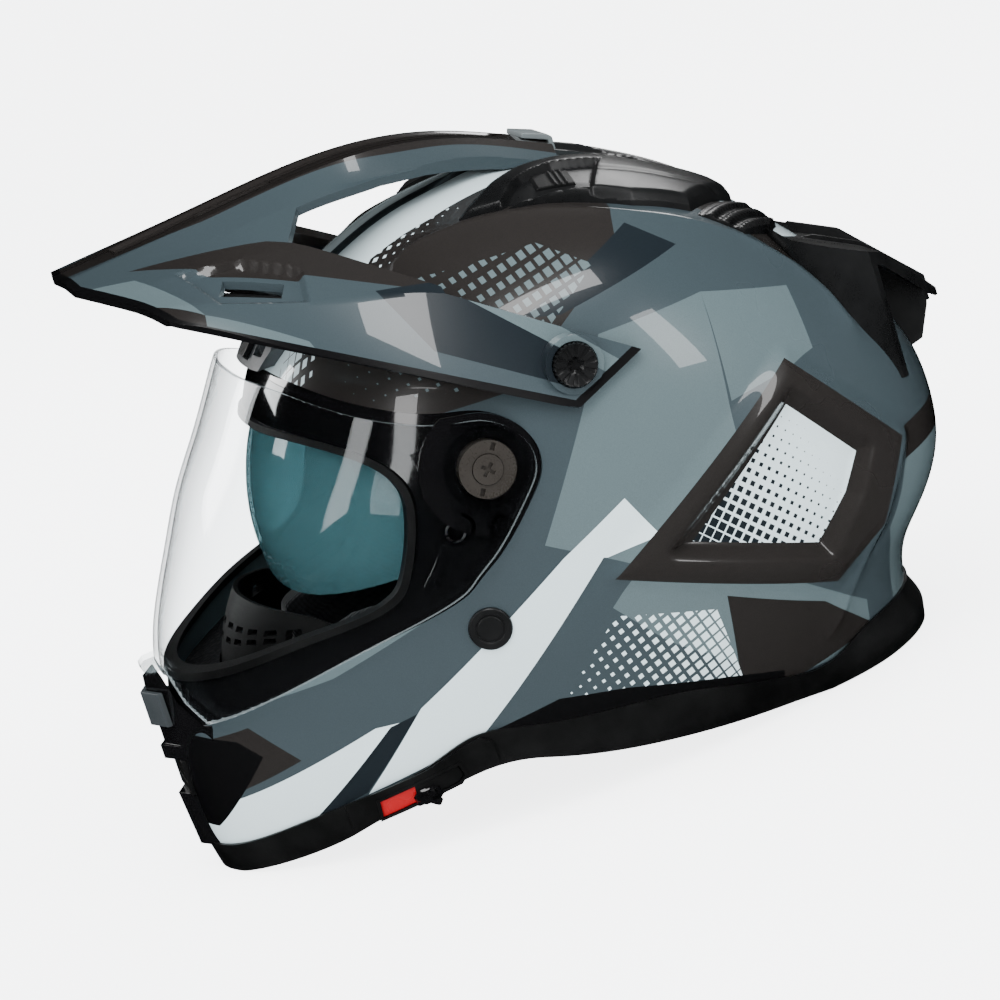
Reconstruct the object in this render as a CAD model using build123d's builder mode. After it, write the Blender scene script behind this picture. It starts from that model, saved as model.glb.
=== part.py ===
from build123d import *
import math
import os

os.makedirs("parts", exist_ok=True)

# ---------------------------------------------------------------------------
# Dual sport helmet.  Millimetres, +Z up, face towards -Y, wearer's left is +X.
# The helmet stands on the chin end and the rear end of its lower trim, Z = 0.
# ---------------------------------------------------------------------------

# driving dimensions
SHELL_T = 4.0            # thickness of the outer shell
VISOR_T = 2.2            # thickness of the face shield
SUN_T = 2.0              # thickness of the inner sun shield
PEAK_T = 3.2             # thickness of the peak
TRIM_OUT = 1.2           # the lower trim stands this proud of the shell
TRIM_IN = -8.0           # inner face of the lower trim
EPS_OUT = -4.6           # outer face of the impact liner
EPS_IN = -30.0           # inner face of the impact liner
LINER_OUT = -30.6        # outer face of the comfort liner
LINER_IN = -38.5         # inner face of the comfort liner
PIVOT_Y, PIVOT_Z = -44.0, 160.0      # face shield pivot
HUB_R = 12.5             # radius of the visor hub
SUN_Y, SUN_Z = -30.0, 130.0          # sun shield pivot
SUN_R = 97.5             # radius of the sun shield about its pivot
SUN_W = 112.0            # half width of the sun shield at its ears
SUN_P = 2.4              # fullness of the sun shield's section
KNOB_Y, KNOB_Z = 4.3, 189.4          # peak knobs and peak tilt axis
KNOB_R = 9.5
KNOB_SHAFT_R = 3.0
PLUG_Y, PLUG_Z = -61.5, 92.4         # round side plugs
PLUG_R = 9.3
STRAP_W = 24.0           # webbing width
STRAP_T = 1.8            # webbing thickness

# horizontal slices of the outer surface:
# z, front y, rear y, y of the widest place, half width, front and rear
# fullness, and the mean lean of the wall there in degrees
HULL = [
    (0, -189, 147, -10, 88, 1.92, 2.1, 0),
    (15, -192, 148, -8, 101, 1.92, 2.1, 0),
    (30, -193.5, 149, -6, 110, 1.93, 2.1, 0),
    (45, -194, 155, -4, 116, 1.94, 2.1, 0),
    (60, -193, 168, -2, 120, 1.95, 2.1, 0),
    (80, -189, 180, 0, 124, 1.98, 2.1, 0),
    (100, -182.5, 183, 2, 126, 2.0, 2.12, 2),
    (125, -166, 180, 4, 127.5, 2.1, 2.15, 8),
    (150, -141, 169, 6, 127.5, 2.25, 2.2, 18),
    (175, -122, 153, 8, 125, 2.3, 2.2, 24),
    (200, -111, 131, 9, 117, 2.25, 2.2, 32),
    (220, -95, 110, 10, 105, 2.2, 2.2, 44),
    (236, -74, 87, 11, 88, 2.15, 2.2, 56),
    (248, -50, 64, 12, 68, 2.1, 2.1, 66),
    (256, -25, 41, 13, 43, 2.05, 2.05, 76),
    (260, 0, 22, 13, 18, 2.0, 2.0, 84),
    (261.2, 8, 18, 13, 7, 2.0, 2.0, 90),
]

# slices of the outer face of the face shield: z, front y, half width, fullness
VISOR = [
    (60, -190.5, 128.5, 2.25),
    (72, -191, 128.5, 2.25),
    (86, -190.5, 128.5, 2.25),
    (100, -188, 129, 2.3),
    (120, -179.5, 129.5, 2.35),
    (143, -166.5, 129.5, 2.45),
    (160, -156.5, 129.5, 2.5),
    (180, -142, 129, 2.5),
    (200, -128.5, 126, 2.5),
    (212, -120.5, 121.5, 2.5),
    (225, -110, 113, 2.5),
]

# outlines seen from the side, (y, z)
SEAM = [(-206, 13), (-190, 14), (-172, 19), (-152, 25.5), (-128, 31.5), (-104, 38),
        (-88, 45), (-76, 47.5), (-60, 45), (-45, 42), (-18, 38.5), (10, 34.5),
        (34, 27.5), (57, 19.8), (72, 15.5), (85, 15), (96, 18.5), (108, 22),
        (130, 23), (206, 23)]
RIM = [(-184, 0), (-165, 4.5), (-140, 12), (-126, 18), (-108, 22.5), (-91, 27), (-75, 29.8),
       (-60, 28.5), (-47, 24.5), (-30, 19.5), (-11, 15), (15, 10), (40, 6), (62, 3), (84, 0)]
PORT = [(-240, 194), (-122, 190.2), (-112, 188.2), (-98.8, 183), (-86, 175), (-79, 167.5),
        (-75.5, 158), (-77, 146), (-82, 132), (-87.5, 121), (-92, 115.5), (-103.6, 110.2),
        (-133, 104.5), (-160, 97.6), (-185, 92), (-240, 84)]
VISOR_SIDE = [(-188.6, 97.5), (-186, 85), (-181, 76.6), (-167.6, 81.5), (-127.4, 95.5),
              (-97.8, 103.3), (-68, 111.5), (-61, 116.5), (-50.6, 124), (-38, 136), (-28.8, 146),
              (-24.6, 152), (-23.2, 158), (-24, 164), (-27.9, 171.1), (-33.8, 176.6),
              (-41.6, 180.4), (-55.8, 183), (-74, 189), (-90.9, 197.3), (-104, 205.5),
              (-114, 211), (-122, 213.4), (-240, 214), (-240, 97.5)]
BASE_SIDE = [(-68.5, 120), (-53.5, 126.5), (-40, 139), (-31, 150), (-28, 158), (-29.5, 166),
             (-36, 173), (-44, 176), (-56, 177.5), (-69, 174), (-73.5, 158), (-74.5, 146),
             (-78, 133), (-78, 124)]
COVER_SIDE = [(-139, 29.6), (-104.7, 37.2), (-88, 43.6), (-78.7, 46.2), (-74, 43), (-73, 31),
              (-91, 28.3), (-108, 23.8), (-126, 19.4), (-138, 15.4)]
SLOT_SIDE = [(-125, 27.8), (-90, 36.2), (-88.5, 31), (-91, 27.9), (-108, 23.4), (-125, 19.0)]


def cubic(xs, ys, x):
    """Monotone cubic through (xs, ys)."""
    n = len(xs)
    if x <= xs[0]:
        return ys[0]
    if x >= xs[-1]:
        return ys[-1]
    h = [xs[i + 1] - xs[i] for i in range(n - 1)]
    s = [(ys[i + 1] - ys[i]) / h[i] for i in range(n - 1)]
    m = [s[0]] + [0.0] * (n - 2) + [s[-1]]
    for i in range(1, n - 1):
        if s[i - 1] * s[i] > 0:
            w1, w2 = 2 * h[i] + h[i - 1], h[i] + 2 * h[i - 1]
            m[i] = (w1 + w2) / (w1 / s[i - 1] + w2 / s[i])
    i = max(k for k in range(n - 1) if xs[k] <= x)
    t = (x - xs[i]) / h[i]
    return (ys[i] * (1 + 2 * t) * (1 - t) ** 2 + m[i] * h[i] * t * (1 - t) ** 2
            + ys[i + 1] * t * t * (3 - 2 * t) + m[i + 1] * h[i] * t * t * (t - 1))


def half_width(y, z):
    """Half width of the outer surface at station y and height z."""
    zs = [r[0] for r in HULL]
    yf, yr, ym, w, nf, nr = [cubic(zs, [r[k] for r in HULL], z) for k in range(1, 7)]
    s, n = ((ym - y) / (ym - yf), nf) if y < ym else ((y - ym) / (yr - ym), nr)
    return w * (1 - min(max(s, 0.0), 1.0) ** n) ** (1 / n)


def skin(y, z, side=1):
    """A plane that touches the outer surface, its normal outwards, x along +Y."""
    e = 0.5
    x = half_width(y, z)
    dy = (half_width(y + e, z) - half_width(y - e, z)) / (2 * e)
    dz = (half_width(y, z + e) - half_width(y, z - e)) / (2 * e)
    normal = Vector(side, -dy, -dz).normalized()
    along = Vector(side * dy, 1, 0).normalized()
    return Plane(origin=(side * x, y, z), x_dir=along, z_dir=normal)


def crown_height(x, y):
    """Height of the outer surface over (x, y) on the upper half."""
    lo, hi = 150.0, 261.2
    for _ in range(40):
        mid = (lo + hi) / 2
        if half_width(y, mid) > abs(x):
            lo = mid
        else:
            hi = mid
    return lo


def roof(x, y, up=0.0):
    """A plane that touches the crown over (x, y), moved out by up; its x runs
    rearwards along the surface."""
    e = 1.0
    dx = (crown_height(x + e, y) - crown_height(x - e, y)) / (2 * e)
    dy = (crown_height(x, y + e) - crown_height(x, y - e)) / (2 * e)
    normal = Vector(-dx, -dy, 1).normalized()
    along = Vector(0, 1, dy).normalized()
    return Plane(origin=Vector(x, y, crown_height(x, y)) + normal * up, x_dir=along, z_dir=normal)


def band(line, t):
    """Closed outline of a strip of thickness t along a line."""
    left, right = [], []
    for i, (x, z) in enumerate(line):
        x0, z0 = line[max(i - 1, 0)]
        x1, z1 = line[min(i + 1, len(line) - 1)]
        length = math.hypot(x1 - x0, z1 - z0)
        nx, nz = -(z1 - z0) / length * t / 2, (x1 - x0) / length * t / 2
        left.append((x + nx, z + nz))
        right.append((x - nx, z - nz))
    return left + right[::-1]


def slice_points(z, yf, yr, ym, w, nf, nr, count=24):
    points = []
    for k in range(count):
        a = 2 * math.pi * (k + 0.5) / count
        cy, sx = math.cos(a), math.sin(a)
        n, length = (nf, ym - yf) if cy < 0 else (nr, yr - ym)
        x = w * math.copysign(abs(sx) ** (2 / n), sx)
        y = ym + length * math.copysign(abs(cy) ** (2 / n), cy)
        points.append((x, y))
    return points


def moved_out(d):
    """The helmet's outer surface moved out by d, as a closed lofted solid."""
    slices = []
    for z, yf, yr, ym, w, nf, nr, lean in HULL:
        up, out = d * math.sin(math.radians(lean)), d * math.cos(math.radians(lean))
        with BuildSketch(Plane.XY.offset(z + up)) as one:
            with BuildLine():
                Spline(*slice_points(z, yf - out, yr + out, ym, w + out, nf, nr), periodic=True)
            make_face()
        slices.append(one.sketch.face())
    with BuildPart() as body:
        loft(slices)
    return body.part


def shield_out(d):
    """The face shield's outer surface moved out by d, closed at the back."""
    slices = []
    for z, yf, w, n in VISOR:
        with BuildSketch(Plane.XY.offset(z)) as one:
            with BuildLine():
                Spline(*slice_points(z, yf - d, 120 + d, 0, w + d, n, 2.2), periodic=True)
            make_face()
        slices.append(one.sketch.face())
    with BuildPart() as body:
        loft(slices)
    return body.part


# every layer of the helmet is a slice between two of these offset bodies
HULL_AT = {d: moved_out(d) for d in (
    7.0, 6.5, 3.0, 2.6, 1.9, TRIM_OUT + 0.05, TRIM_OUT, 1.0, 0.8, 0.05, 0.0, -SHELL_T, EPS_OUT,
    -5.0, TRIM_IN, -8.4, -25.0, -26.0, -29.0, EPS_IN, LINER_OUT, -33.5, -36.0, LINER_IN, -64.0)}
SHIELD_AT = {d: shield_out(d) for d in (0.0, -VISOR_T, -3.8)}


def hull(d, mode=Mode.ADD):
    add(HULL_AT[d], mode=mode)


def visor_hull(d, mode=Mode.ADD):
    add(SHIELD_AT[d], mode=mode)


def side(points, mode=Mode.INTERSECT, x0=-160, x1=160):
    """A side-view outline carried across the helmet from x0 to x1."""
    with BuildSketch(Plane.YZ.offset(x0)) as one:
        with BuildLine():
            Polyline(*points, close=True)
        make_face()
    extrude(one.sketch, amount=x1 - x0, mode=mode)


def plan(points, mode=Mode.INTERSECT, z0=-20, z1=320):
    """A plan-view outline carried up from z0 to z1."""
    with BuildSketch(Plane.XY.offset(z0)) as one:
        with BuildLine():
            Polyline(*points, close=True)
        make_face()
    extrude(one.sketch, amount=z1 - z0, mode=mode)


def across(points, y0, y1, mode=Mode.ADD):
    """A front-view outline, (x, z), carried along Y from y1 forwards to y0."""
    front = Plane(origin=(0, y1, 0), x_dir=(1, 0, 0), z_dir=(0, -1, 0))
    with BuildSketch(front) as one:
        with BuildLine():
            Polyline(*points, close=True)
        make_face()
    extrude(one.sketch, amount=y1 - y0, mode=mode)


def lateral(y, z, radius, x0, x1, mode=Mode.ADD):
    """A round bar along X."""
    with BuildSketch(Plane.YZ.offset(x0)) as one:
        with Locations((y, z)):
            Circle(radius)
    extrude(one.sketch, amount=x1 - x0, mode=mode)


def finish(builder, name):
    builder.part.label = name
    export_step(builder.part, "parts/" + name + ".step")


ABOVE_SEAM = [(-230, 300), (-230, 13)] + SEAM + [(230, 23), (230, 300)]


def above(gap):
    """The side-view region above the seam, lifted by gap."""
    return [(-230, 300), (-230, 13 + gap)] + [(y, z + gap) for y, z in SEAM] + [
        (230, 23 + gap), (230, 300)]


# ---- shell -----------------------------------------------------------------
with BuildPart() as outer_shell:
    hull(0.0)
    hull(-SHELL_T, mode=Mode.SUBTRACT)
    side(above(0))
    side(PORT, mode=Mode.SUBTRACT)
    # side plug holes, visor hub holes and peak screw holes
    for s in (1, -1):
        with BuildSketch(skin(PLUG_Y, PLUG_Z, s).offset(4)):
            Circle(PLUG_R + 0.1)
        extrude(amount=-12, mode=Mode.SUBTRACT)
        lateral(PIVOT_Y, PIVOT_Z, 29, *sorted((s * 122.6, s * 140)), mode=Mode.SUBTRACT)
        lateral(PIVOT_Y, PIVOT_Z, 3.1, *sorted((s * 90, s * 140)), mode=Mode.SUBTRACT)
        lateral(KNOB_Y, KNOB_Z, 5.05, *sorted((s * 90, s * 140)), mode=Mode.SUBTRACT)
    # air inlets under the crown vents, the brow vent and the rear exhaust
    with Locations((44, 48, 240), (-44, 48, 240)):
        Box(14, 46, 40, mode=Mode.SUBTRACT)
    with Locations((0, -100, 219)):
        Box(30, 40, 6, mode=Mode.SUBTRACT)
    with Locations((22, 160, 150), (-22, 160, 150)):
        Box(26, 40, 10, mode=Mode.SUBTRACT)
    # chin air inlets
    with Locations((0, -195, 66)):
        Box(36, 30, 12, mode=Mode.SUBTRACT)
    with Locations((0, -195, 47)):
        Box(30.6, 30, 17.6, mode=Mode.SUBTRACT)
finish(outer_shell, "outer_shell")

with BuildPart() as lower_trim:
    hull(TRIM_OUT)
    hull(TRIM_IN, mode=Mode.SUBTRACT)
    side([(-230, -5), (-230, 13)] + SEAM + [(230, 23), (230, -5)])
    side([(-184, -20)] + RIM + [(84, -20)], mode=Mode.SUBTRACT)
finish(lower_trim, "lower_trim")

# ---- eye port --------------------------------------------------------------
PORT_IN = [(-240, 190.8), (-122, 187.2), (-113, 185.3), (-100.4, 180.4), (-88.2, 172.8),
           (-81.9, 166), (-78.6, 158), (-80, 146.6), (-84.9, 133), (-90.3, 122.3),
           (-93.8, 118.2), (-104.2, 113.2), (-133.7, 107.5), (-160.7, 100.6), (-185.6, 95),
           (-240, 87)]

with BuildPart() as eye_port_gasket:
    hull(1.0)
    hull(-5.0, mode=Mode.SUBTRACT)
    side(PORT)
    side(PORT_IN, mode=Mode.SUBTRACT)
finish(eye_port_gasket, "eye_port_gasket")

for s, word in ((1, "left"), (-1, "right")):
    lo, hi = (60, 160) if s > 0 else (-160, -60)
    with BuildPart() as visor_base_plate:
        visor_hull(-3.8)
        hull(0.0, mode=Mode.SUBTRACT)
        side(BASE_SIDE, x0=lo, x1=hi)
        lateral(PIVOT_Y, PIVOT_Z, 60, *sorted((s * 121.9, s * 140)), mode=Mode.SUBTRACT)
        lateral(PIVOT_Y, PIVOT_Z, 3.1, lo, hi, mode=Mode.SUBTRACT)
    finish(visor_base_plate, "visor_base_plate_" + word)

    # turned hub: a disc whose rim carries the face shield
    with BuildPart() as visor_hub:
        lateral(PIVOT_Y, PIVOT_Z, HUB_R, *sorted((s * 122.65, s * 128.9)))
        lateral(PIVOT_Y, PIVOT_Z, 3.1, *sorted((s * 120.0, s * 130.0)), mode=Mode.SUBTRACT)
        for a in (45, 225):
            with BuildSketch(Plane.YZ.offset(s * 127.5)):
                with Locations((PIVOT_Y + 9.4 * math.cos(math.radians(a)),
                                PIVOT_Z + 9.4 * math.sin(math.radians(a)))):
                    Rectangle(5.5, 2.2, rotation=a)
            extrude(amount=s * 3, mode=Mode.SUBTRACT)
        lateral(PIVOT_Y, PIVOT_Z, 6.7, *sorted((s * 127.6, s * 130.0)), mode=Mode.SUBTRACT)
    finish(visor_hub, "visor_hub_" + word)

with BuildPart() as visor_pivot_screws:
    for s in (1, -1):
        lateral(PIVOT_Y, PIVOT_Z, 6.5, *sorted((s * 127.6, s * 129.3)))
        lateral(PIVOT_Y, PIVOT_Z, 3.05, *sorted((s * 115.6, s * 127.6)))
        with BuildSketch(Plane.YZ.offset(s * 128.4)):
            with Locations((PIVOT_Y, PIVOT_Z)):
                Rectangle(6.5, 1.5, rotation=45)
                Rectangle(6.5, 1.5, rotation=135)
        extrude(amount=s * 3, mode=Mode.SUBTRACT)
finish(visor_pivot_screws, "visor_pivot_screws")

with BuildPart() as visor:
    visor_hull(0.0)
    visor_hull(-VISOR_T, mode=Mode.SUBTRACT)
    side(VISOR_SIDE)
    # raised collars round the hubs, then the bores that ride on them
    for s in (1, -1):
        lateral(PIVOT_Y, PIVOT_Z, 15.2, *sorted((s * 125.2, s * 128.3)))
        lateral(PIVOT_Y, PIVOT_Z, HUB_R + 0.06, *sorted((s * 110, s * 140)), mode=Mode.SUBTRACT)
    # lifting tab at the bottom edge
    with BuildSketch(Plane.XY.offset(97.6)):
        with BuildLine():
            Polyline((-15, -185.5), (-13, -193.5), (-6, -196.5), (6, -196.5), (13, -193.5),
                     (15, -185.5), close=True)
        make_face()
    extrude(amount=2.6)
finish(visor, "visor")


# ---- sun shield ------------------------------------------------------------
def sun_radius(x, w=SUN_W, r=SUN_R):
    return r * (1 - min(abs(x) / w, 1.0) ** SUN_P) ** (1 / SUN_P)


def sun_profile(inner, outer):
    """Half section of the sun shield: across X and out from the pivot axis."""
    xs = [0, 14, 28, 42, 56, 70, 82, 92, 100, 106, 110]
    up = [(x, sun_radius(x, SUN_W + outer, SUN_R + outer)) for x in xs] + [(SUN_W + outer, 14)]
    down = [(SUN_W + inner, 14)] + [
        (x, sun_radius(x, SUN_W + inner, SUN_R + inner)) for x in (108, 103, 97, 89, 79, 67, 53, 40, 26, 13, 0)
        if x < SUN_W + inner - 0.5]
    return up + down


def sun_turn(inner, outer, start, end, mode=Mode.ADD):
    """Turn the section about the lateral pivot axis from start to end degrees
    above straight ahead, on both sides."""
    section = Plane(origin=(0, SUN_Y, SUN_Z), x_dir=(1, 0, 0),
                    z_dir=Vector(0, -math.sin(math.radians(start)), -math.cos(math.radians(start))))
    pts = sun_profile(inner, outer)
    with BuildSketch(section) as one:
        for s in (1, -1):
            with BuildLine():
                Polyline(*[(s * x, r) for x, r in pts], close=True)
            make_face()
    revolve(one.sketch, axis=Axis((0, SUN_Y, SUN_Z), (-1, 0, 0)), revolution_arc=end - start,
            mode=mode)


with BuildPart() as sun_visor:
    sun_turn(-SUN_T, 0.0, -9, 41)
    # ears round the pivot pins
    for s in (1, -1):
        lateral(SUN_Y, SUN_Z, 15, *sorted((s * (SUN_W - SUN_T), s * SUN_W)))
        lateral(SUN_Y, SUN_Z, 4.05, *sorted((s * 100, s * 120)), mode=Mode.SUBTRACT)
finish(sun_visor, "sun_visor")


with BuildPart() as sun_visor_pins:
    for s in (1, -1):
        lateral(SUN_Y, SUN_Z, 4.0, *sorted((s * 108.6, s * 120.6)))
        lateral(SUN_Y, SUN_Z, 6.0, *sorted((s * 107.4, s * 109.4)))
finish(sun_visor_pins, "sun_visor_pins")

# ---- peak ------------------------------------------------------------------
# cross sections of the peak's upper face, half of each: y, then (x, z)
PEAK_ROWS = [
    (-184, [(0, 275.4), (20, 274.6), (37, 272.0), (60, 267.5), (84, 262.5), (106, 258.5)]),
    (-147, [(0, 278.5), (20, 278.0), (38, 274.0), (62, 269.0), (90, 262.5), (107, 257.5)]),
    (-110, [(0, 282.5), (20, 281.5), (40, 275.0), (64, 267.0), (95, 252.0), (115, 236.5)]),
    (-75, [(0, 286.0), (21, 285.0), (38, 277.0), (66, 262.0), (98, 242.0), (120, 215.5)]),
    (-34, [(0, 287.5), (21, 286.0), (26, 275.0), (74, 250.0), (103, 231.0), (126.5, 191.0)]),
    (4, [(0, 281.0), (21, 279.5), (25, 268.0), (82, 240.0), (117, 212.0), (130.8, 171.0)]),
    (50, [(0, 262.2), (20, 260.8), (24, 252.5), (88, 225.0), (121, 198.0), (131.5, 168.0)]),
]
PEAK_FRONT = [(0, -178), (35, -174.5), (80, -156), (105, -147.5), (112, -139), (140, -110),
              (140, 47), (-140, 47), (-140, -110), (-112, -139), (-105, -147.5), (-80, -156),
              (-35, -174.5)]
WINDOW = [(40, -73), (60, -84), (99, -34), (101, 90), (24, 90), (24.2, -12), (27, -33)]


def inside_line(line, t):
    """The same line moved inwards by t."""
    out = []
    for i, (x, z) in enumerate(line):
        x0, z0 = line[max(i - 1, 0)] if i else (-line[1][0], line[1][1])
        x1, z1 = line[min(i + 1, len(line) - 1)]
        length = math.hypot(x1 - x0, z1 - z0)
        out.append((x + (z1 - z0) / length * t if i else 0.0, z - (x1 - x0) / length * t))
    return out


with BuildPart() as peak:
    rows = []
    for y, line in PEAK_ROWS:
        under = inside_line(line, PEAK_T)
        outline = [(-x, z) for x, z in line[:0:-1]] + line + under[::-1] + [
            (-x, z) for x, z in under[1:]]
        with BuildSketch(Plane(origin=(0, y, 0), x_dir=(1, 0, 0), z_dir=(0, -1, 0))) as row:
            with BuildLine():
                Polyline(*outline, close=True)
            make_face()
        rows.append(row.sketch.face())
    loft(rows, ruled=True)
    plan(PEAK_FRONT)
    plan(WINDOW, mode=Mode.SUBTRACT)
    plan([(-x, y) for x, y in WINDOW], mode=Mode.SUBTRACT)
    for lo, hi in ((60, 160), (-160, -60)):
        side([(-34, 231), (34, 185.5), (34, 100), (120, 100), (120, 330), (-34, 330)],
             mode=Mode.SUBTRACT, x0=lo, x1=hi)
    side([(-260, 250), (-147.5, 256.5), (0, 171.5), (34, 185.5), (34, 100), (-260, 100)],
         mode=Mode.SUBTRACT)
    # air slots in the wings
    for s in (1, -1):
        plan([(s * 72, -117), (s * 80, -122), (s * 86, -100), (s * 80, -97)], mode=Mode.SUBTRACT)
    # screw bosses with a recess for each knob
    for s in (1, -1):
        lateral(KNOB_Y, KNOB_Z, 12.6, *sorted((s * 121.0, s * 129.2)))
    hull(0.8, mode=Mode.SUBTRACT)
    for s in (1, -1):
        lateral(KNOB_Y, KNOB_Z, KNOB_R + 0.5, *sorted((s * 127.2, s * 140)), mode=Mode.SUBTRACT)
        lateral(KNOB_Y, KNOB_Z, KNOB_SHAFT_R + 0.08, *sorted((s * 110, s * 140)),
                mode=Mode.SUBTRACT)
finish(peak, "peak")

with BuildPart() as peak_clip:
    side([(36, 267.9), (47.06, 263.52), (47.06, 258.6), (49.4, 258.6), (49.4, 264.3),
          (47.5, 266.2), (36.8, 270.2)], mode=Mode.ADD, x0=-14, x1=14)
    add(peak.part, mode=Mode.SUBTRACT)
finish(peak_clip, "peak_clip")

with BuildPart() as crown_mount:
    side([(16, 240), (16, 267.5), (36, 259.6), (36, 240)], mode=Mode.ADD, x0=-9, x1=9)
    hull(0.0, mode=Mode.SUBTRACT)
finish(crown_mount, "crown_mount")

for s, word in ((1, "left"), (-1, "right")):
    with BuildPart() as peak_knob:
        lateral(KNOB_Y, KNOB_Z, KNOB_R, *sorted((s * 127.5, s * 132.2)))
        edge = peak_knob.edges().filter_by(GeomType.CIRCLE).sort_by(Axis.X)
        chamfer(edge[-1] if s > 0 else edge[0], 0.8)
        lateral(KNOB_Y, KNOB_Z, KNOB_SHAFT_R, *sorted((s * 111.5, s * 127.5)))
        with BuildSketch(Plane.YZ.offset(s * 130.4)) as drive:
            with Locations((KNOB_Y, KNOB_Z)):
                RegularPolygon(2.4, 6)
        extrude(drive.sketch, amount=s * 4, mode=Mode.SUBTRACT)
        with BuildSketch(Plane.YZ.offset(s * 131.5)) as ribs:
            with Locations((KNOB_Y, KNOB_Z)):
                with PolarLocations(6.2, 16):
                    Rectangle(3.4, 0.9)
        extrude(ribs.sketch, amount=s * 3, mode=Mode.SUBTRACT)
    finish(peak_knob, "peak_knob_" + word)

with BuildPart() as peak_inserts:
    for s in (1, -1):
        lateral(KNOB_Y, KNOB_Z, 5.0, *sorted((s * 109.5, s * 119.4)))
        lateral(KNOB_Y, KNOB_Z, KNOB_SHAFT_R + 0.05, *sorted((s * 111, s * 121)),
                mode=Mode.SUBTRACT)
finish(peak_inserts, "peak_inserts")

# ---- crown vents -----------------------------------------------------------
TOP_VENT = [(62, -11), (46, 8), (38, 22), (29, 52), (28, 80), (19, 108), (32, 114.5),
            (71, 85.5), (76, 60), (74, 40), (70, 14)]
TOP_GRILLE = [(73, 87.5), (34.6, 116), (38, 129), (56, 121), (74, 105)]
TOP_TRAVEL = 9.0
grilles = []

for s, word in ((1, "left"), (-1, "right")):
    switch = roof(s * 54, 40, 7.0)
    with BuildPart() as top_vent:
        hull(7.0)
        hull(0.05, mode=Mode.SUBTRACT)
        plan([(s * x, y) for x, y in TOP_VENT], z0=185)
        # sunk track of the vent switch
        with BuildSketch(switch.offset(-2.6)) as track:
            with Locations((TOP_TRAVEL / 2, 0)):
                Rectangle(17 + TOP_TRAVEL, 13)
        extrude(track.sketch, amount=12, mode=Mode.SUBTRACT)
    finish(top_vent, "top_vent_" + word)

    with BuildPart() as top_vent_slider:
        with BuildSketch(switch.offset(-2.2)) as plate:
            RectangleRounded(16, 12, 2)
        extrude(plate.sketch, amount=2.6)
        with BuildSketch(switch.offset(0.4)) as grip:
            with Locations((-4, 0), (0, 0), (4, 0)):
                Rectangle(1.6, 10)
        extrude(grip.sketch, amount=1.4)
    finish(top_vent_slider, "top_vent_slider_" + word)

    with BuildPart() as top_vent_grille:
        hull(3.0)
        hull(0.05, mode=Mode.SUBTRACT)
        plan([(s * x, y) for x, y in TOP_GRILLE], z0=150)
    finish(top_vent_grille, "top_vent_grille_" + word)
    grilles.append(top_vent_grille.part)

# ---- brow vent -------------------------------------------------------------
BROW_TRAVEL = 5.0
with BuildPart() as brow_vent:
    hull(6.5)
    hull(0.05, mode=Mode.SUBTRACT)
    across([(-26, 211.5), (26, 211.5), (31, 219), (24, 228.5), (-24, 228.5), (-31, 219)],
           -130, -60, mode=Mode.INTERSECT)
    for x in (-17, 17):
        with Locations((x, -104, 219.5)):
            Box(12, 40, 5.5, mode=Mode.SUBTRACT)
    lean = Plane(origin=(0, -103.5, 220.5), x_dir=(1, 0, 0), z_dir=Vector(0, -0.72, 0.69))
    with BuildSketch(lean.offset(-0.6)) as track:
        Rectangle(13, 12 + BROW_TRAVEL)
    extrude(track.sketch, amount=12, mode=Mode.SUBTRACT)
finish(brow_vent, "brow_vent")

with BuildPart() as brow_vent_slider:
    with BuildSketch(lean.offset(-0.2)) as plate:
        with Locations((0, -BROW_TRAVEL / 2)):
            RectangleRounded(12, 11, 1.5)
    extrude(plate.sketch, amount=2.4)
finish(brow_vent_slider, "brow_vent_slider")

# ---- rear spoiler ----------------------------------------------------------
SPOILER_SIDE = [(106, 214), (124, 196.5), (145, 185.5), (165, 175.5), (200.5, 140.5),
                (200, 137.5), (188, 141.5), (181, 126), (160, 120), (120, 130), (100, 180)]
SPOILER_PLAN = [(0, 200.5), (13, 200.0), (32, 189), (70, 157), (80, 138), (73, 122), (34, 110),
                (-34, 110), (-73, 122), (-80, 138), (-70, 157), (-32, 189), (-13, 200.0)]
with BuildPart() as rear_spoiler:
    side(SPOILER_SIDE, mode=Mode.ADD, x0=-85, x1=85)
    plan(SPOILER_PLAN)
    # air outlets on each side of the fins
    for lo, hi in ((-66, -34), (-29, -3), (3, 29), (34, 66)):
        side([(135, 184), (164, 170), (190, 144.2), (210, 128), (200, 100), (150, 100),
              (128, 150)], mode=Mode.SUBTRACT, x0=lo, x1=hi)
    hull(0.05, mode=Mode.SUBTRACT)
    # it stops at the crown grilles
    for grille in grilles:
        add(grille, mode=Mode.SUBTRACT)
finish(rear_spoiler, "rear_spoiler")

# ---- chin vent -------------------------------------------------------------
BEAK = [(12.5, 22, -196.5, -186), (48, 36, -199.5, -183), (72, 42, -199.5, -179.5),
        (95, 40, -197, -176)]
CHIN_TRAVEL = 8.0


def prow(half, front, back, deep=-150.0):
    return [(0, front), (half, back), (half, deep), (-half, deep), (-half, back)]


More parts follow.
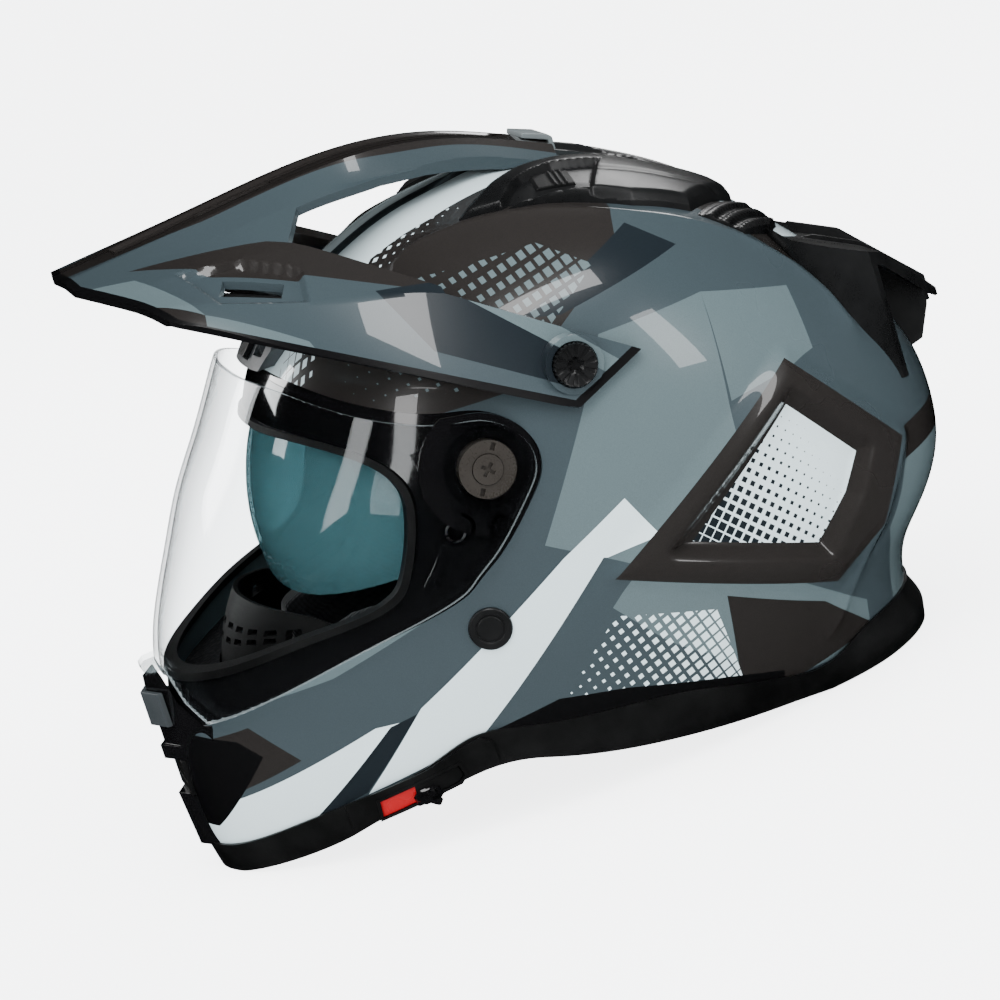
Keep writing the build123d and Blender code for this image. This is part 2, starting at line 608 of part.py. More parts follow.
with BuildPart() as chin_vent_housing:
    rows = []
    for z, half, front, back in BEAK:
        with BuildSketch(Plane.XY.offset(z)) as row:
            with BuildLine():
                Polyline(*prow(half, front, back), close=True)
            make_face()
        rows.append(row.sketch.face())
    loft(rows, ruled=True)
    hull(0.05, mode=Mode.SUBTRACT)
    add(lower_trim.part, mode=Mode.SUBTRACT)
    # clear of the face shield's lower edge
    side([(-190.5, 115), (-190.5, 96), (-188, 83), (-182, 73.5), (-140, 76), (-140, 115)],
         mode=Mode.SUBTRACT)
    # air intake and the sunk track of the vent switch
    with Locations((0, -195, 47)):
        Box(30, 34, 17, mode=Mode.SUBTRACT)
    with BuildSketch(Plane.XY.offset(62)) as track:
        with BuildLine():
            Polyline((0, -197.2), (15, -191.2), (15, -215), (-15, -215), (-15, -191.2),
                     close=True)
        make_face()
    extrude(track.sketch, amount=28, mode=Mode.SUBTRACT)
finish(chin_vent_housing, "chin_vent_housing")

with BuildPart() as chin_vent_slider:
    with BuildSketch(Plane.XY.offset(72)) as plate:
        with BuildLine():
            Polyline((0, -200.5), (14.2, -194.8), (14.2, -192.3), (0, -197.9), (-14.2, -192.3),
                     (-14.2, -194.8), close=True)
        make_face()
    extrude(plate.sketch, amount=16)
finish(chin_vent_slider, "chin_vent_slider")

with BuildPart() as chin_vent_grille:
    with Locations((0, -193.5, 47)):
        Box(29.6, 2.0, 16.6)
    with Locations((0, -193.5, 47)):
        with GridLocations(6.0, 5.2, 5, 3):
            Box(4.6, 8, 3.8, mode=Mode.SUBTRACT)
finish(chin_vent_grille, "chin_vent_grille")

# ---- lower trim covers and the sun shield switch ----------------------------
SLIDE_TRAVEL = 14.0
for s, word in ((1, "left"), (-1, "right")):
    lo, hi = (40, 160) if s > 0 else (-160, -40)
    with BuildPart() as trim_cover:
        hull(2.6)
        hull(TRIM_OUT + 0.05, mode=Mode.SUBTRACT)
        side(COVER_SIDE, x0=lo, x1=hi)
        if s > 0:
            side(SLOT_SIDE, mode=Mode.SUBTRACT, x0=lo, x1=hi)
    finish(trim_cover, "trim_cover_" + word)

with BuildPart() as sun_slider_track:
    hull(1.9)
    hull(TRIM_OUT + 0.05, mode=Mode.SUBTRACT)
    side([(-124.6, 27.4), (-90.4, 35.6), (-89, 31), (-91.2, 28.3), (-108, 23.8), (-124.6, 19.5)],
         x0=40, x1=160)
finish(sun_slider_track, "sun_slider_track")

slot = skin(-104, 26.5, 1)
slot_dir = (slot.x_dir + Vector(0, 0, 0.243)).normalized()
slot = Plane(origin=slot.origin, x_dir=slot_dir - slot.z_dir * slot_dir.dot(slot.z_dir),
             z_dir=slot.z_dir)
with BuildPart() as sun_visor_slider:
    with BuildSketch(slot.offset(2.9)) as plate:
        RectangleRounded(8.5, 9.0, 1.5)
    extrude(plate.sketch, amount=1.6)
    with BuildSketch(slot.offset(4.5)) as grip:
        Rectangle(3.0, 8.4)
    extrude(grip.sketch, amount=1.8)
finish(sun_visor_slider, "sun_visor_slider")
print("sun slider direction", slot.x_dir, "normal", slot.z_dir)

# ---- side plugs ------------------------------------------------------------
for s, word in ((1, "left"), (-1, "right")):
    face = skin(PLUG_Y, PLUG_Z, s)
    with BuildPart() as side_plug:
        with BuildSketch(face.offset(-3.2)) as disc:
            Circle(PLUG_R)
        extrude(disc.sketch, amount=4.6)
        with BuildSketch(face.offset(0.4)) as groove:
            Circle(6.6)
            Circle(5.6, mode=Mode.SUBTRACT)
        extrude(groove.sketch, amount=3, mode=Mode.SUBTRACT)
    finish(side_plug, "side_plug_" + word)

# ---- chin strap ------------------------------------------------------------
STRAP_LINE = [(84, 101), (83, 72), (79, 48), (75, 42.5), (58, 38.5), (52, 36), (46, 34.3),
              (30, 34.3)]
RATCHET_LINE = [(-84, 101), (-83, 72), (-79, 48), (-75, 42.5), (-58, 38.5), (-44, 31),
                (-36, 28.4), (-2, 28.4)]
STRAP_Y0, STRAP_Y1 = -61.5 - STRAP_W / 2, -61.5 + STRAP_W / 2

with BuildPart() as chin_strap_left:
    across(band(STRAP_LINE, STRAP_T), STRAP_Y0, STRAP_Y1)
finish(chin_strap_left, "chin_strap_left")

with BuildPart() as chin_strap_right:
    across(band(RATCHET_LINE, STRAP_T), STRAP_Y0, STRAP_Y1)
finish(chin_strap_right, "chin_strap_right")

with BuildPart() as strap_anchors:
    for s in (1, -1):
        with Locations((s * 85.75, -61.5, 92.4)):
            Box(1.4, 20, 18)
        lateral(PLUG_Y, PLUG_Z, 4.0, *sorted((s * 86.3, s * 112.0)))
finish(strap_anchors, "strap_anchors")

with BuildPart() as strap_pad:
    across(band([(-70, 41.3), (-58, 38.5), (-44, 31), (-36, 28.4), (-14, 28.4)], 7.5),
           STRAP_Y0 - 3, STRAP_Y1 + 3)
    across(band(RATCHET_LINE[3:], STRAP_T + 0.5), STRAP_Y0 - 0.3, STRAP_Y1 + 0.3,
           mode=Mode.SUBTRACT)
finish(strap_pad, "strap_pad")

with BuildPart() as ratchet_strip:
    with Locations((15, -61.5, 30.3)):
        Box(46, 15, 1.9)
    with Locations((18, -61.5, 29.2)):
        with GridLocations(3.0, 1, 12, 1):
            Box(1.4, 11, 0.9, mode=Mode.SUBTRACT)
finish(ratchet_strip, "ratchet_strip")

LEVER_X, LEVER_Z = 42.0, 25.6
with BuildPart() as buckle_body:
    with Locations((31, -61.5, 29.4)):
        Box(28, 26, 8.0)
    with Locations((30, -61.5, 30.3)):
        Box(40, 16, 2.9, mode=Mode.SUBTRACT)
    with Locations((30, -61.5, 26.4)):
        Box(40, 20.6, 5.2, mode=Mode.SUBTRACT)
    # eye lugs of the lever pin
    for y in (-61.5 - 11.65, -61.5 + 11.65):
        with Locations((LEVER_X, y, LEVER_Z)):
            Cylinder(3.2, 2.7, rotation=(90, 0, 0))
    with Locations((LEVER_X, -61.5, LEVER_Z)):
        Cylinder(1.5, 26, rotation=(90, 0, 0))
finish(buckle_body, "buckle_body")

with BuildPart() as buckle_lever:
    with Locations((LEVER_X, -61.5, LEVER_Z)):
        Cylinder(2.7, 20, rotation=(90, 0, 0))
    with Locations((LEVER_X - 14.5, -61.5, LEVER_Z - 1.2)):
        Box(29, 20, 2.4)
    with Locations((LEVER_X - 29, -61.5, LEVER_Z - 1.9)):
        Box(3, 20, 3.8)
    with Locations((LEVER_X, -61.5, LEVER_Z)):
        Cylinder(1.56, 30, rotation=(90, 0, 0), mode=Mode.SUBTRACT)
finish(buckle_lever, "buckle_lever")


def strap_channel():
    """Room for the webbing and its anchors on both sides."""
    across(band(STRAP_LINE[:5] + [(40, 34)], 5.0), STRAP_Y0 - 1.5, STRAP_Y1 + 1.5,
           mode=Mode.SUBTRACT)
    across(band(RATCHET_LINE[:5] + [(-40, 34)], 5.0), STRAP_Y0 - 1.5, STRAP_Y1 + 1.5,
           mode=Mode.SUBTRACT)
    for s in (1, -1):
        lateral(PLUG_Y, PLUG_Z, 4.4, *sorted((s * 70, s * 125)), mode=Mode.SUBTRACT)
        with Locations((s * 86, PLUG_Y, PLUG_Z)):
            Box(9, 22, 21, mode=Mode.SUBTRACT)


# ---- impact liner ----------------------------------------------------------
with BuildPart() as eps_liner:
    hull(EPS_OUT)
    hull(EPS_IN, mode=Mode.SUBTRACT)
    side([(210, 28), (210, 300), (-130, 300), (-130, 197.5), (-96, 197.5), (-74, 182),
          (-66, 166), (-66, 53), (-45, 48), (10, 40), (57, 26), (85, 21), (108, 28)])
    # room for the sun shield over its whole travel
    sun_turn(-SUN_T - 3.0, 32.0, -16, 92, mode=Mode.SUBTRACT)
    for s in (1, -1):
        lateral(SUN_Y, SUN_Z, 18, *sorted((s * 105, s * 130)), mode=Mode.SUBTRACT)
        lateral(KNOB_Y, KNOB_Z, 6, *sorted((s * 105, s * 130)), mode=Mode.SUBTRACT)
        lateral(PIVOT_Y, PIVOT_Z, 5, *sorted((s * 105, s * 130)), mode=Mode.SUBTRACT)
    strap_channel()
finish(eps_liner, "eps_liner")

with BuildPart() as chin_eps:
    hull(EPS_OUT)
    hull(-25.0, mode=Mode.SUBTRACT)
    side([(-210, 19), (-190, 20), (-172, 25), (-152, 31.5), (-128, 37.5), (-104, 44),
          (-88, 51), (-76, 53.5), (-67, 52), (-67, 102), (-104, 98), (-133, 93), (-160, 87),
          (-210, 78)])
    with Locations((0, -180, 60)):
        Box(36, 60, 26, mode=Mode.SUBTRACT)
    strap_channel()
finish(chin_eps, "chin_eps")

for s, word in ((1, "left"), (-1, "right")):
    lo, hi = (30, 160) if s > 0 else (-160, -30)
    with BuildPart() as cheek_pad:
        hull(-33.5)
        hull(-64.0, mode=Mode.SUBTRACT)
        side([(-126, 34), (-92, 14), (-50, 13), (-14, 18), (-14, 132), (-60, 132),
              (-74, 118), (-88, 104), (-126, 95)], x0=lo, x1=hi)
        strap_channel()
        # the strap, its pad and the buckle cross below the pad
        with Locations((s * 62, PLUG_Y, 25)):
            Box(64, 33, 56, mode=Mode.SUBTRACT)
    finish(cheek_pad, "cheek_pad_" + word)

with BuildPart() as crown_liner:
    hull(LINER_OUT)
    hull(LINER_IN, mode=Mode.SUBTRACT)
    side([(57, 30), (85, 26), (210, 31), (210, 300), (-130, 300), (-130, 199.5),
          (-97, 199.5), (-74, 184), (-64, 168), (-58, 137), (-10, 137), (-10, 44)])
finish(crown_liner, "crown_liner")

with BuildPart() as neck_roll:
    hull(-8.4)
    hull(-36.0, mode=Mode.SUBTRACT)
    side([(-10, 14), (0, 6), (20, 3), (62, 2.5), (84, 2.0), (210, 2.5), (210, 20.5), (108, 20),
          (85, 14.5), (57, 19), (10, 33), (-10, 35)])
finish(neck_roll, "neck_roll")

with BuildPart() as breath_deflector:
    hull(-26.0)
    hull(-29.0, mode=Mode.SUBTRACT)
    side([(-200, 84), (-200, 121), (-150, 117), (-124, 108), (-112, 100), (-112, 84)])
finish(breath_deflector, "breath_deflector")
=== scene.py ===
import bpy
import bmesh
import math
import random
import numpy as np
from mathutils import Vector, Matrix
from mathutils.bvhtree import BVHTree


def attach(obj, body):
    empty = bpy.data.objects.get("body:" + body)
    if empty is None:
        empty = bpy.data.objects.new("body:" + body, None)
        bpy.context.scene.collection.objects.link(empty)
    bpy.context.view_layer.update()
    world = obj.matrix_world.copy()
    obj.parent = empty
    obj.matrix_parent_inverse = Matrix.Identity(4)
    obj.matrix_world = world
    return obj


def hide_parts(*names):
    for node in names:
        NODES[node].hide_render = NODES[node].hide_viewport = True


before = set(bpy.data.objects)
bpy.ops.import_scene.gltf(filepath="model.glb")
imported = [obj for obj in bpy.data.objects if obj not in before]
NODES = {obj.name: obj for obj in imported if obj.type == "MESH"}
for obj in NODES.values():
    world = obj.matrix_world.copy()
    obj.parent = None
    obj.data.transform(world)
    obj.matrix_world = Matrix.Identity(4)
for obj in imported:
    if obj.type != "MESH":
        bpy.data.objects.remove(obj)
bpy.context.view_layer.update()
random.seed(7)

# ---------------------------------------------------------------------------
# Surface tables (millimetres).
# z, front y, rear y, widest y, half width, front and rear fullness, lean
# ---------------------------------------------------------------------------
HULL = [
    (0, -189, 147, -10, 88, 1.92, 2.1, 0), (15, -192, 148, -8, 101, 1.92, 2.1, 0),
    (30, -193.5, 149, -6, 110, 1.93, 2.1, 0), (45, -194, 155, -4, 116, 1.94, 2.1, 0),
    (60, -193, 168, -2, 120, 1.95, 2.1, 0), (80, -189, 180, 0, 124, 1.98, 2.1, 0),
    (100, -182.5, 183, 2, 126, 2.0, 2.12, 2), (125, -166, 180, 4, 127.5, 2.1, 2.15, 8),
    (150, -141, 169, 6, 127.5, 2.25, 2.2, 18), (175, -122, 153, 8, 125, 2.3, 2.2, 24),
    (200, -111, 131, 9, 117, 2.25, 2.2, 32), (220, -95, 110, 10, 105, 2.2, 2.2, 44),
    (236, -74, 87, 11, 88, 2.15, 2.2, 56), (248, -50, 64, 12, 68, 2.1, 2.1, 66),
    (256, -25, 41, 13, 43, 2.05, 2.05, 76), (260, 0, 22, 13, 18, 2.0, 2.0, 84),
    (261.2, 8, 18, 13, 7, 2.0, 2.0, 90), (261.4, 13, 13, 13, 0.0, 2.0, 2.0, 90)]
VISOR = [
    (60, -190.5, 128.5, 2.25), (72, -191, 128.5, 2.25), (86, -190.5, 128.5, 2.25),
    (100, -188, 129, 2.3), (120, -179.5, 129.5, 2.35), (143, -166.5, 129.5, 2.45),
    (160, -156.5, 129.5, 2.5), (180, -142, 129, 2.5), (200, -128.5, 126, 2.5),
    (212, -120.5, 121.5, 2.5), (225, -110, 113, 2.5)]
PIVOT_Y, PIVOT_Z = -44.0, 160.0
KNOB_Y, KNOB_Z = 4.3, 189.4
PLUG_Y, PLUG_Z = -61.5, 92.4
SUN_Y, SUN_Z = -30.0, 130.0
SEAM = [(-206, 13), (-190, 14), (-172, 19), (-152, 25.5), (-128, 31.5), (-104, 38),
        (-88, 45), (-76, 47.5), (-60, 45), (-45, 42), (-18, 38.5), (10, 34.5),
        (34, 27.5), (57, 19.8), (72, 15.5), (85, 15), (96, 18.5), (108, 22),
        (130, 23), (206, 23)]
RIM = [(-184, 0), (-165, 4.5), (-140, 12), (-126, 18), (-108, 22.5), (-91, 27), (-75, 29.8),
       (-60, 28.5), (-47, 24.5), (-30, 19.5), (-11, 15), (15, 10), (40, 6), (62, 3), (84, 0)]
PORT = [(-240, 194), (-122, 190.2), (-112, 188.2), (-98.8, 183), (-86, 175), (-79, 167.5),
        (-75.5, 158), (-77, 146), (-82, 132), (-87.5, 121), (-92, 115.5), (-103.6, 110.2),
        (-133, 104.5), (-160, 97.6), (-185, 92), (-240, 84)]
PORT_IN = [(-240, 190.8), (-122, 187.2), (-113, 185.3), (-100.4, 180.4), (-88.2, 172.8),
           (-81.9, 166), (-78.6, 158), (-80, 146.6), (-84.9, 133), (-90.3, 122.3),
           (-93.8, 118.2), (-104.2, 113.2), (-133.7, 107.5), (-160.7, 100.6), (-185.6, 95),
           (-240, 87)]
VISOR_REAR = [(-188.6, 97.5), (-186, 85), (-181, 76.6), (-167.6, 81.5), (-127.4, 95.5),
              (-97.8, 103.3), (-68, 111.5), (-61, 116.5), (-50.6, 124), (-38, 136), (-28.8, 146),
              (-24.6, 152), (-23.2, 158), (-24, 164), (-27.9, 171.1), (-33.8, 176.6),
              (-41.6, 180.4), (-55.8, 183), (-74, 189), (-90.9, 197.3), (-104, 205.5),
              (-114, 211), (-122, 213.4)]


def natural(t, y, q):
    """Natural cubic spline through the rows y at t, read at q."""
    t, y, q = np.asarray(t, float), np.asarray(y, float), np.asarray(q, float)
    n, h = len(t), np.diff(t)
    a, r = np.zeros((n, n)), np.zeros_like(y)
    a[0, 0] = a[-1, -1] = 1
    for i in range(1, n - 1):
        a[i, i - 1], a[i, i], a[i, i + 1] = h[i - 1], 2 * (h[i - 1] + h[i]), h[i]
        r[i] = 6 * ((y[i + 1] - y[i]) / h[i] - (y[i] - y[i - 1]) / h[i - 1])
    m = np.linalg.solve(a, r)
    k = np.clip(np.searchsorted(t, q, side="right") - 1, 0, n - 2)
    hk, u, v = h[k], t[k + 1] - q, q - t[k]
    if y.ndim > 1:
        hk, u, v = hk[:, None], u[:, None], v[:, None]
    return ((m[k] * u ** 3 + m[k + 1] * v ** 3) / (6 * hk) + (y[k] / hk - m[k] * hk / 6) * u
            + (y[k + 1] / hk - m[k + 1] * hk / 6) * v)


def smooth_line(pts, step=1.5, corners=()):
    """Dense points on a smooth curve through pts; it may turn sharply at corners."""
    pts = np.asarray(pts, float)
    cuts = [0] + [i for i in sorted(corners) if 0 < i < len(pts) - 1] + [len(pts) - 1]
    out = []
    for a, b in zip(cuts[:-1], cuts[1:]):
        run = pts[a:b + 1]
        d = np.linalg.norm(np.diff(run, axis=0), axis=1)
        t = np.concatenate([[0], np.cumsum(np.sqrt(d))])
        q = np.linspace(0, t[-1], max(int(d.sum() / step), 2))
        line = natural(t, run, q) if len(run) > 2 else run[0] + (run[1] - run[0]) * (
            q / t[-1])[:, None]
        out.extend(line[:-1].tolist())
    out.append(pts[-1].tolist())
    return out


_h = np.array(HULL, float)
_d = np.sqrt(np.diff(_h[:, 0]) ** 2 + np.diff(_h[:, 4]) ** 2
             + (np.diff(_h[:, 1]) ** 2 + np.diff(_h[:, 2]) ** 2) / 2)
HULL_T = np.concatenate([[0], np.cumsum(_d)])
_levels = np.linspace(0, HULL_T[-1], 900)
_fine = natural(HULL_T, _h, _levels)
_fine[:, 0] = np.maximum.accumulate(_fine[:, 0])


def row_at(z):
    """Table values at height z, interpolated on the fine rows."""
    z = np.asarray(z, float)
    return [np.interp(z, _fine[:, 0], _fine[:, k]) for k in range(1, 7)]


def half_width(y, z):
    yf, yr, ym, w, nf, nr = row_at(z)
    y = np.asarray(y, float)
    front = y < ym
    s = np.where(front, (ym - y) / (ym - yf), (y - ym) / np.maximum(yr - ym, 1e-6))
    n = np.where(front, nf, nr)
    return w * np.maximum(1 - np.clip(s, 0, 1) ** n, 0) ** (1 / n)


def skin(y, z, side=1, up=0.0):
    """Point and outward normal of the shell's surface at station y, height z."""
    e = 0.5
    x = float(half_width(y, z))
    dy = float(half_width(y + e, z) - half_width(y - e, z)) / (2 * e)
    dz = float(half_width(y, z + e) - half_width(y, z - e)) / (2 * e)
    n = Vector((side, -dy, -dz)).normalized()
    return Vector((side * x, y, z)) + n * up, n


def crown_height(x, y):
    lo, hi = 150.0, 261.3
    for _ in range(40):
        mid = (lo + hi) / 2
        if float(half_width(y, mid)) > abs(x):
            lo = mid
        else:
            hi = mid
    return lo


def roof(x, y, up=0.0):
    e = 1.0
    dx = (crown_height(x + e, y) - crown_height(x - e, y)) / (2 * e)
    dy = (crown_height(x, y + e) - crown_height(x, y - e)) / (2 * e)
    n = Vector((-dx, -dy, 1)).normalized()
    return Vector((x, y, crown_height(x, y))) + n * up, n, Vector((0, 1, dy)).normalized()


# ---------------------------------------------------------------------------
# Mesh helpers
# ---------------------------------------------------------------------------
def link(name, mesh):
    o = bpy.data.objects.new(name, mesh)
    bpy.context.scene.collection.objects.link(o)
    return o


def mesh_object(name, verts, faces):
    """An object from points in millimetres."""
    m = bpy.data.meshes.new(name)
    m.from_pydata((np.asarray(verts, float) * 0.001).tolist(), [], faces)
    m.validate()
    return link(name, m)


def grid_faces(nr, nc, wrap=True, flip=False, base=0):
    faces = []
    for i in range(nr - 1):
        for j in range(nc if wrap else nc - 1):
            k = (j + 1) % nc
            q = [base + i * nc + j, base + i * nc + k, base + (i + 1) * nc + k,
                 base + (i + 1) * nc + j]
            faces.append(q[::-1] if flip else q)
    return faces


def ring_points(rows, d, na):
    """Grid of points on the surface moved out by d."""
    z, yf, yr, ym, w, nf, nr, lean = rows.T
    up, out = d * np.sin(np.radians(lean)), d * np.cos(np.radians(lean))
    a = 2 * np.pi * (np.arange(na) + 0.5) / na
    cy, sx = np.cos(a)[None], np.sin(a)[None]
    front = cy < 0
    n = np.where(front, nf[:, None], nr[:, None])
    length = np.where(front, (ym - yf + out)[:, None], (yr - ym + out)[:, None])
    wide = np.maximum(w + out, 0.05)[:, None]
    x = wide * np.sign(sx) * np.abs(sx) ** (2 / n)
    y = ym[:, None] + np.maximum(length, 0.05) * np.sign(cy) * np.abs(cy) ** (2 / n)
    zz = np.repeat((z + up)[:, None], na, 1)
    return np.stack([x, y, zz], 2)


def grid_normals(p):
    du = np.roll(p, -1, 1) - np.roll(p, 1, 1)
    dv = np.gradient(p, axis=0)
    n = np.cross(du, dv)
    n /= np.maximum(np.linalg.norm(n, axis=2, keepdims=True), 1e-9)
    n[-1] = (0, 0, 1)
    c = n[:, :, 0] * p[:, :, 0]
    return -n if c.mean() < 0 else n


def hull_rows(nt, t0=0.0):
    q = np.linspace(t0, HULL_T[-1], nt)
    r = natural(HULL_T, _h, q)
    r[-1] = HULL[-1]
    return r


def hull_solid(name, d, na=240, nt=170, relief=None):
    """The outer surface moved out by d, closed at the bottom, as one solid."""
    p = ring_points(hull_rows(nt), d, na)
    if relief is not None:
        p = p + grid_normals(p) * relief(p)[:, :, None]
    v = p[:-1].reshape(-1, 3).tolist() + [p[-1].mean(0).tolist()]
    f = grid_faces(nt - 1, na)
    last = (nt - 2) * na
    f += [[last + j, last + (j + 1) % na, len(v) - 1] for j in range(na)]
    f.append(list(range(na))[::-1])
    o = mesh_object(name, v, f)
    outwards(o)
    return o


def visor_solid(name, d, na=300, nz=120):
    t = np.array(VISOR, float)
    q = np.linspace(60, 225, nz)
    r = natural(t[:, 0], t, q)
    rows = np.stack([r[:, 0], r[:, 1], np.full(nz, 120.0), np.zeros(nz), r[:, 2], r[:, 3],
                     np.full(nz, 2.2), np.zeros(nz)], 1)
    p = ring_points(rows, d, na)
    v = p.reshape(-1, 3).tolist()
    f = grid_faces(nz, na)
    f.append(list(range(na))[::-1])
    f.append([(nz - 1) * na + j for j in range(na)])
    o = mesh_object(name, v, f)
    outwards(o)
    return o


def outwards(o):
    bm = bmesh.new()
    bm.from_mesh(o.data)
    bmesh.ops.recalc_face_normals(bm, faces=bm.faces)
    bm.to_mesh(o.data)
    bm.free()


def prism(pts, axis="x", lo=-160.0, hi=160.0):
    """A closed outline carried along an axis: x takes (y, z), z takes (x, y),
    y takes (x, z)."""
    n = len(pts)
    make = {"x": lambda p, h: (h, p[0], p[1]), "z": lambda p, h: (p[0], p[1], h),
            "y": lambda p, h: (p[0], h, p[1])}[axis]
    v = [make(p, lo) for p in pts] + [make(p, hi) for p in pts]
    f = [list(range(n))[::-1], list(range(n, 2 * n))]
    f += [[i, (i + 1) % n, n + (i + 1) % n, n + i] for i in range(n)]
    o = mesh_object("cutter", v, f)
    outwards(o)
    return o


def rod(p, d, r, a, b, n=64):
    """A round bar about the line p + s d, from s = a to s = b."""
    d = Vector(d).normalized()
    u = d.orthogonal().normalized()
    w = d.cross(u)
    v = []
    for s in (a, b):
        c = Vector(p) + d * s
        v += [tuple(c + (u * math.cos(k * 2 * math.pi / n) + w * math.sin(
            k * 2 * math.pi / n)) * r) for k in range(n)]
    f = [list(range(n))[::-1], list(range(n, 2 * n))]
    f += [[i, (i + 1) % n, n + (i + 1) % n, n + i] for i in range(n)]
    o = mesh_object("cutter", v, f)
    outwards(o)
    return o


def apply_all(o):
    """Replaces an object's mesh by what its modifiers make of it."""
    dg = bpy.context.evaluated_depsgraph_get()
    new = bpy.data.meshes.new_from_object(o.evaluated_get(dg), preserve_all_data_layers=True,
                                          depsgraph=dg)
    old = o.data
    o.modifiers.clear()
    o.data = new
    bpy.data.meshes.remove(old)


def cut(o, other, how="DIFFERENCE", solver="MANIFOLD", keep=False):
    m = o.modifiers.new("cut", "BOOLEAN")
    m.operation, m.object, m.solver = how, other, solver
    apply_all(o)
    if len(o.data.polygons) == 0:
        print("EMPTY after", how, o.name)
    if not keep:
        bpy.data.objects.remove(other)
    return o


def drop(*objs):
    for o in objs:
        bpy.data.objects.remove(o)


def smooth(o, angle=35.0, weighted=True):
    me = o.data
    me.shade_smooth()
    me.set_sharp_from_angle(angle=math.radians(angle))
    if weighted:
        m = o.modifiers.new("normals", "WEIGHTED_NORMAL")
        m.keep_sharp = True
        m.weight = 100
    return o


def bevel(o, width=0.6, angle=40.0, segments=2):
    m = o.modifiers.new("bevel", "BEVEL")
    m.width, m.segments, m.limit_method = width * 0.001, segments, "ANGLE"
    m.angle_limit = math.radians(angle)
    m.use_clamp_overlap = True
    m.harden_normals = False
    return o


def dress(o, mat, body="helmet", name=None, nodes=()):
    o.data.materials.clear()
    o.data.materials.append(mat)
    if name:
        o.name = name
    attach(o, body)
    if nodes:
        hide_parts(*nodes)
    return o


# ---------------------------------------------------------------------------
# Relief of the painted shell, millimetres out of the plain surface
# ---------------------------------------------------------------------------
def to_lines(p, line):
    """Distance from points p (n, k) to a polyline, and how far along it, 0..1."""
    line = np.asarray(line, float)
    best = np.full(len(p), 1e9)
    where = np.zeros(len(p))
    lens = np.linalg.norm(np.diff(line, axis=0), axis=1)
    total, run = lens.sum(), 0.0
    for a, b, ln in zip(line[:-1], line[1:], lens):
        t = np.clip(((p - a) @ (b - a)) / (ln * ln), 0, 1)
        d = np.linalg.norm(p - (a + t[:, None] * (b - a)), axis=1)
        hit = d < best
        best[hit] = d[hit]
        where[hit] = (run + t[hit] * ln) / total
        run += ln
    return best, where


def in_poly(p, poly):
    poly = np.asarray(poly, float)
    inside = np.zeros(len(p), bool)
    j = len(poly) - 1
    for i in range(len(poly)):
        xi, yi, xj, yj = poly[i, 0], poly[i, 1], poly[j, 0], poly[j, 1]
        hit = ((yi > p[:, 1]) != (yj > p[:, 1])) & (
            p[:, 0] < (xj - xi) * (p[:, 1] - yi) / (yj - yi + 1e-12) + xi)
        inside ^= hit
        j = i
    return inside


def signed(p, poly):
    """Distance to the outline of poly, positive inside."""
    d, _ = to_lines(p, list(poly) + [poly[0]])
    return np.where(in_poly(p, poly), d, -d)


def ramp(x, a, b):
    return np.clip((x - a) / (b - a), 0, 1)


def ease(x, a, b):
    t = ramp(x, a, b)
    return t * t * (3 - 2 * t)


DECK = [(54.7, -52.0, 238.8), (57.0, -31.9, 245.7), (62.9, -11.9, 248.0), (68.5, 4.9, 247.3),
        (73.9, 23.2, 244.3), (78.4, 41.0, 238.6), (80.4, 58.8, 230.9), (78.8, 81.4, 219.3),
        (75.5, 101.5, 206.0), (75.0, 119.0, 187.0), (78.0, 130.4, 169.6), (81.5, 135.9, 155.1)]
POCKET = [(95.8, 156.0), (142.0, 101.0), (122.0, 70.0), (93.5, 56.0), (-3.0, 97.5)]
POCKET_IN = [(92.6, 141.5), (121.5, 105.5), (110.5, 89.3), (91.0, 70.5), (23.3, 98.8)]
REAR_CREASE = [(83.5, 141.8, 97.0), (91.1, 123.2, 73.8), (90.5, 101.3, 45.0), (89.0, 82.0, 24.0)]


def shell_relief(g):
    shape = g.shape[:2]
    p = g.reshape(-1, 3)
    q = np.stack([np.abs(p[:, 0]), p[:, 1], p[:, 2]], 1)
    side = q[:, 1:]
    out = np.zeros(len(p))
    # crease along the edge of the crown
    d, s = to_lines(q, DECK)
    fade = ease(s, 0.0, 0.12)
    out += 2.6 * fade * np.exp(-np.abs(d) / 7.0)
    # sunk panel on the side, in its raised frame
    near = (q[:, 0] > 60) & (side[:, 0] > -40) & (side[:, 1] > 20)
    idx = np.nonzero(near)[0]
    dist_out = signed(side[idx], POCKET)
    dist_in = signed(side[idx], POCKET_IN)
    lift = 3.4 * ease(dist_out, -9.0, 5.0)
    sunk = 6.4 * ease(dist_in, -5.0, 3.0)
    out[idx] += lift - sunk
    # crease behind it, down to the lower edge
    d, s = to_lines(q, REAR_CREASE)
    out += 2.2 * np.exp(-d / 6.0) * (1 - ease(s, 0.85, 1.0))
    return out.reshape(shape)


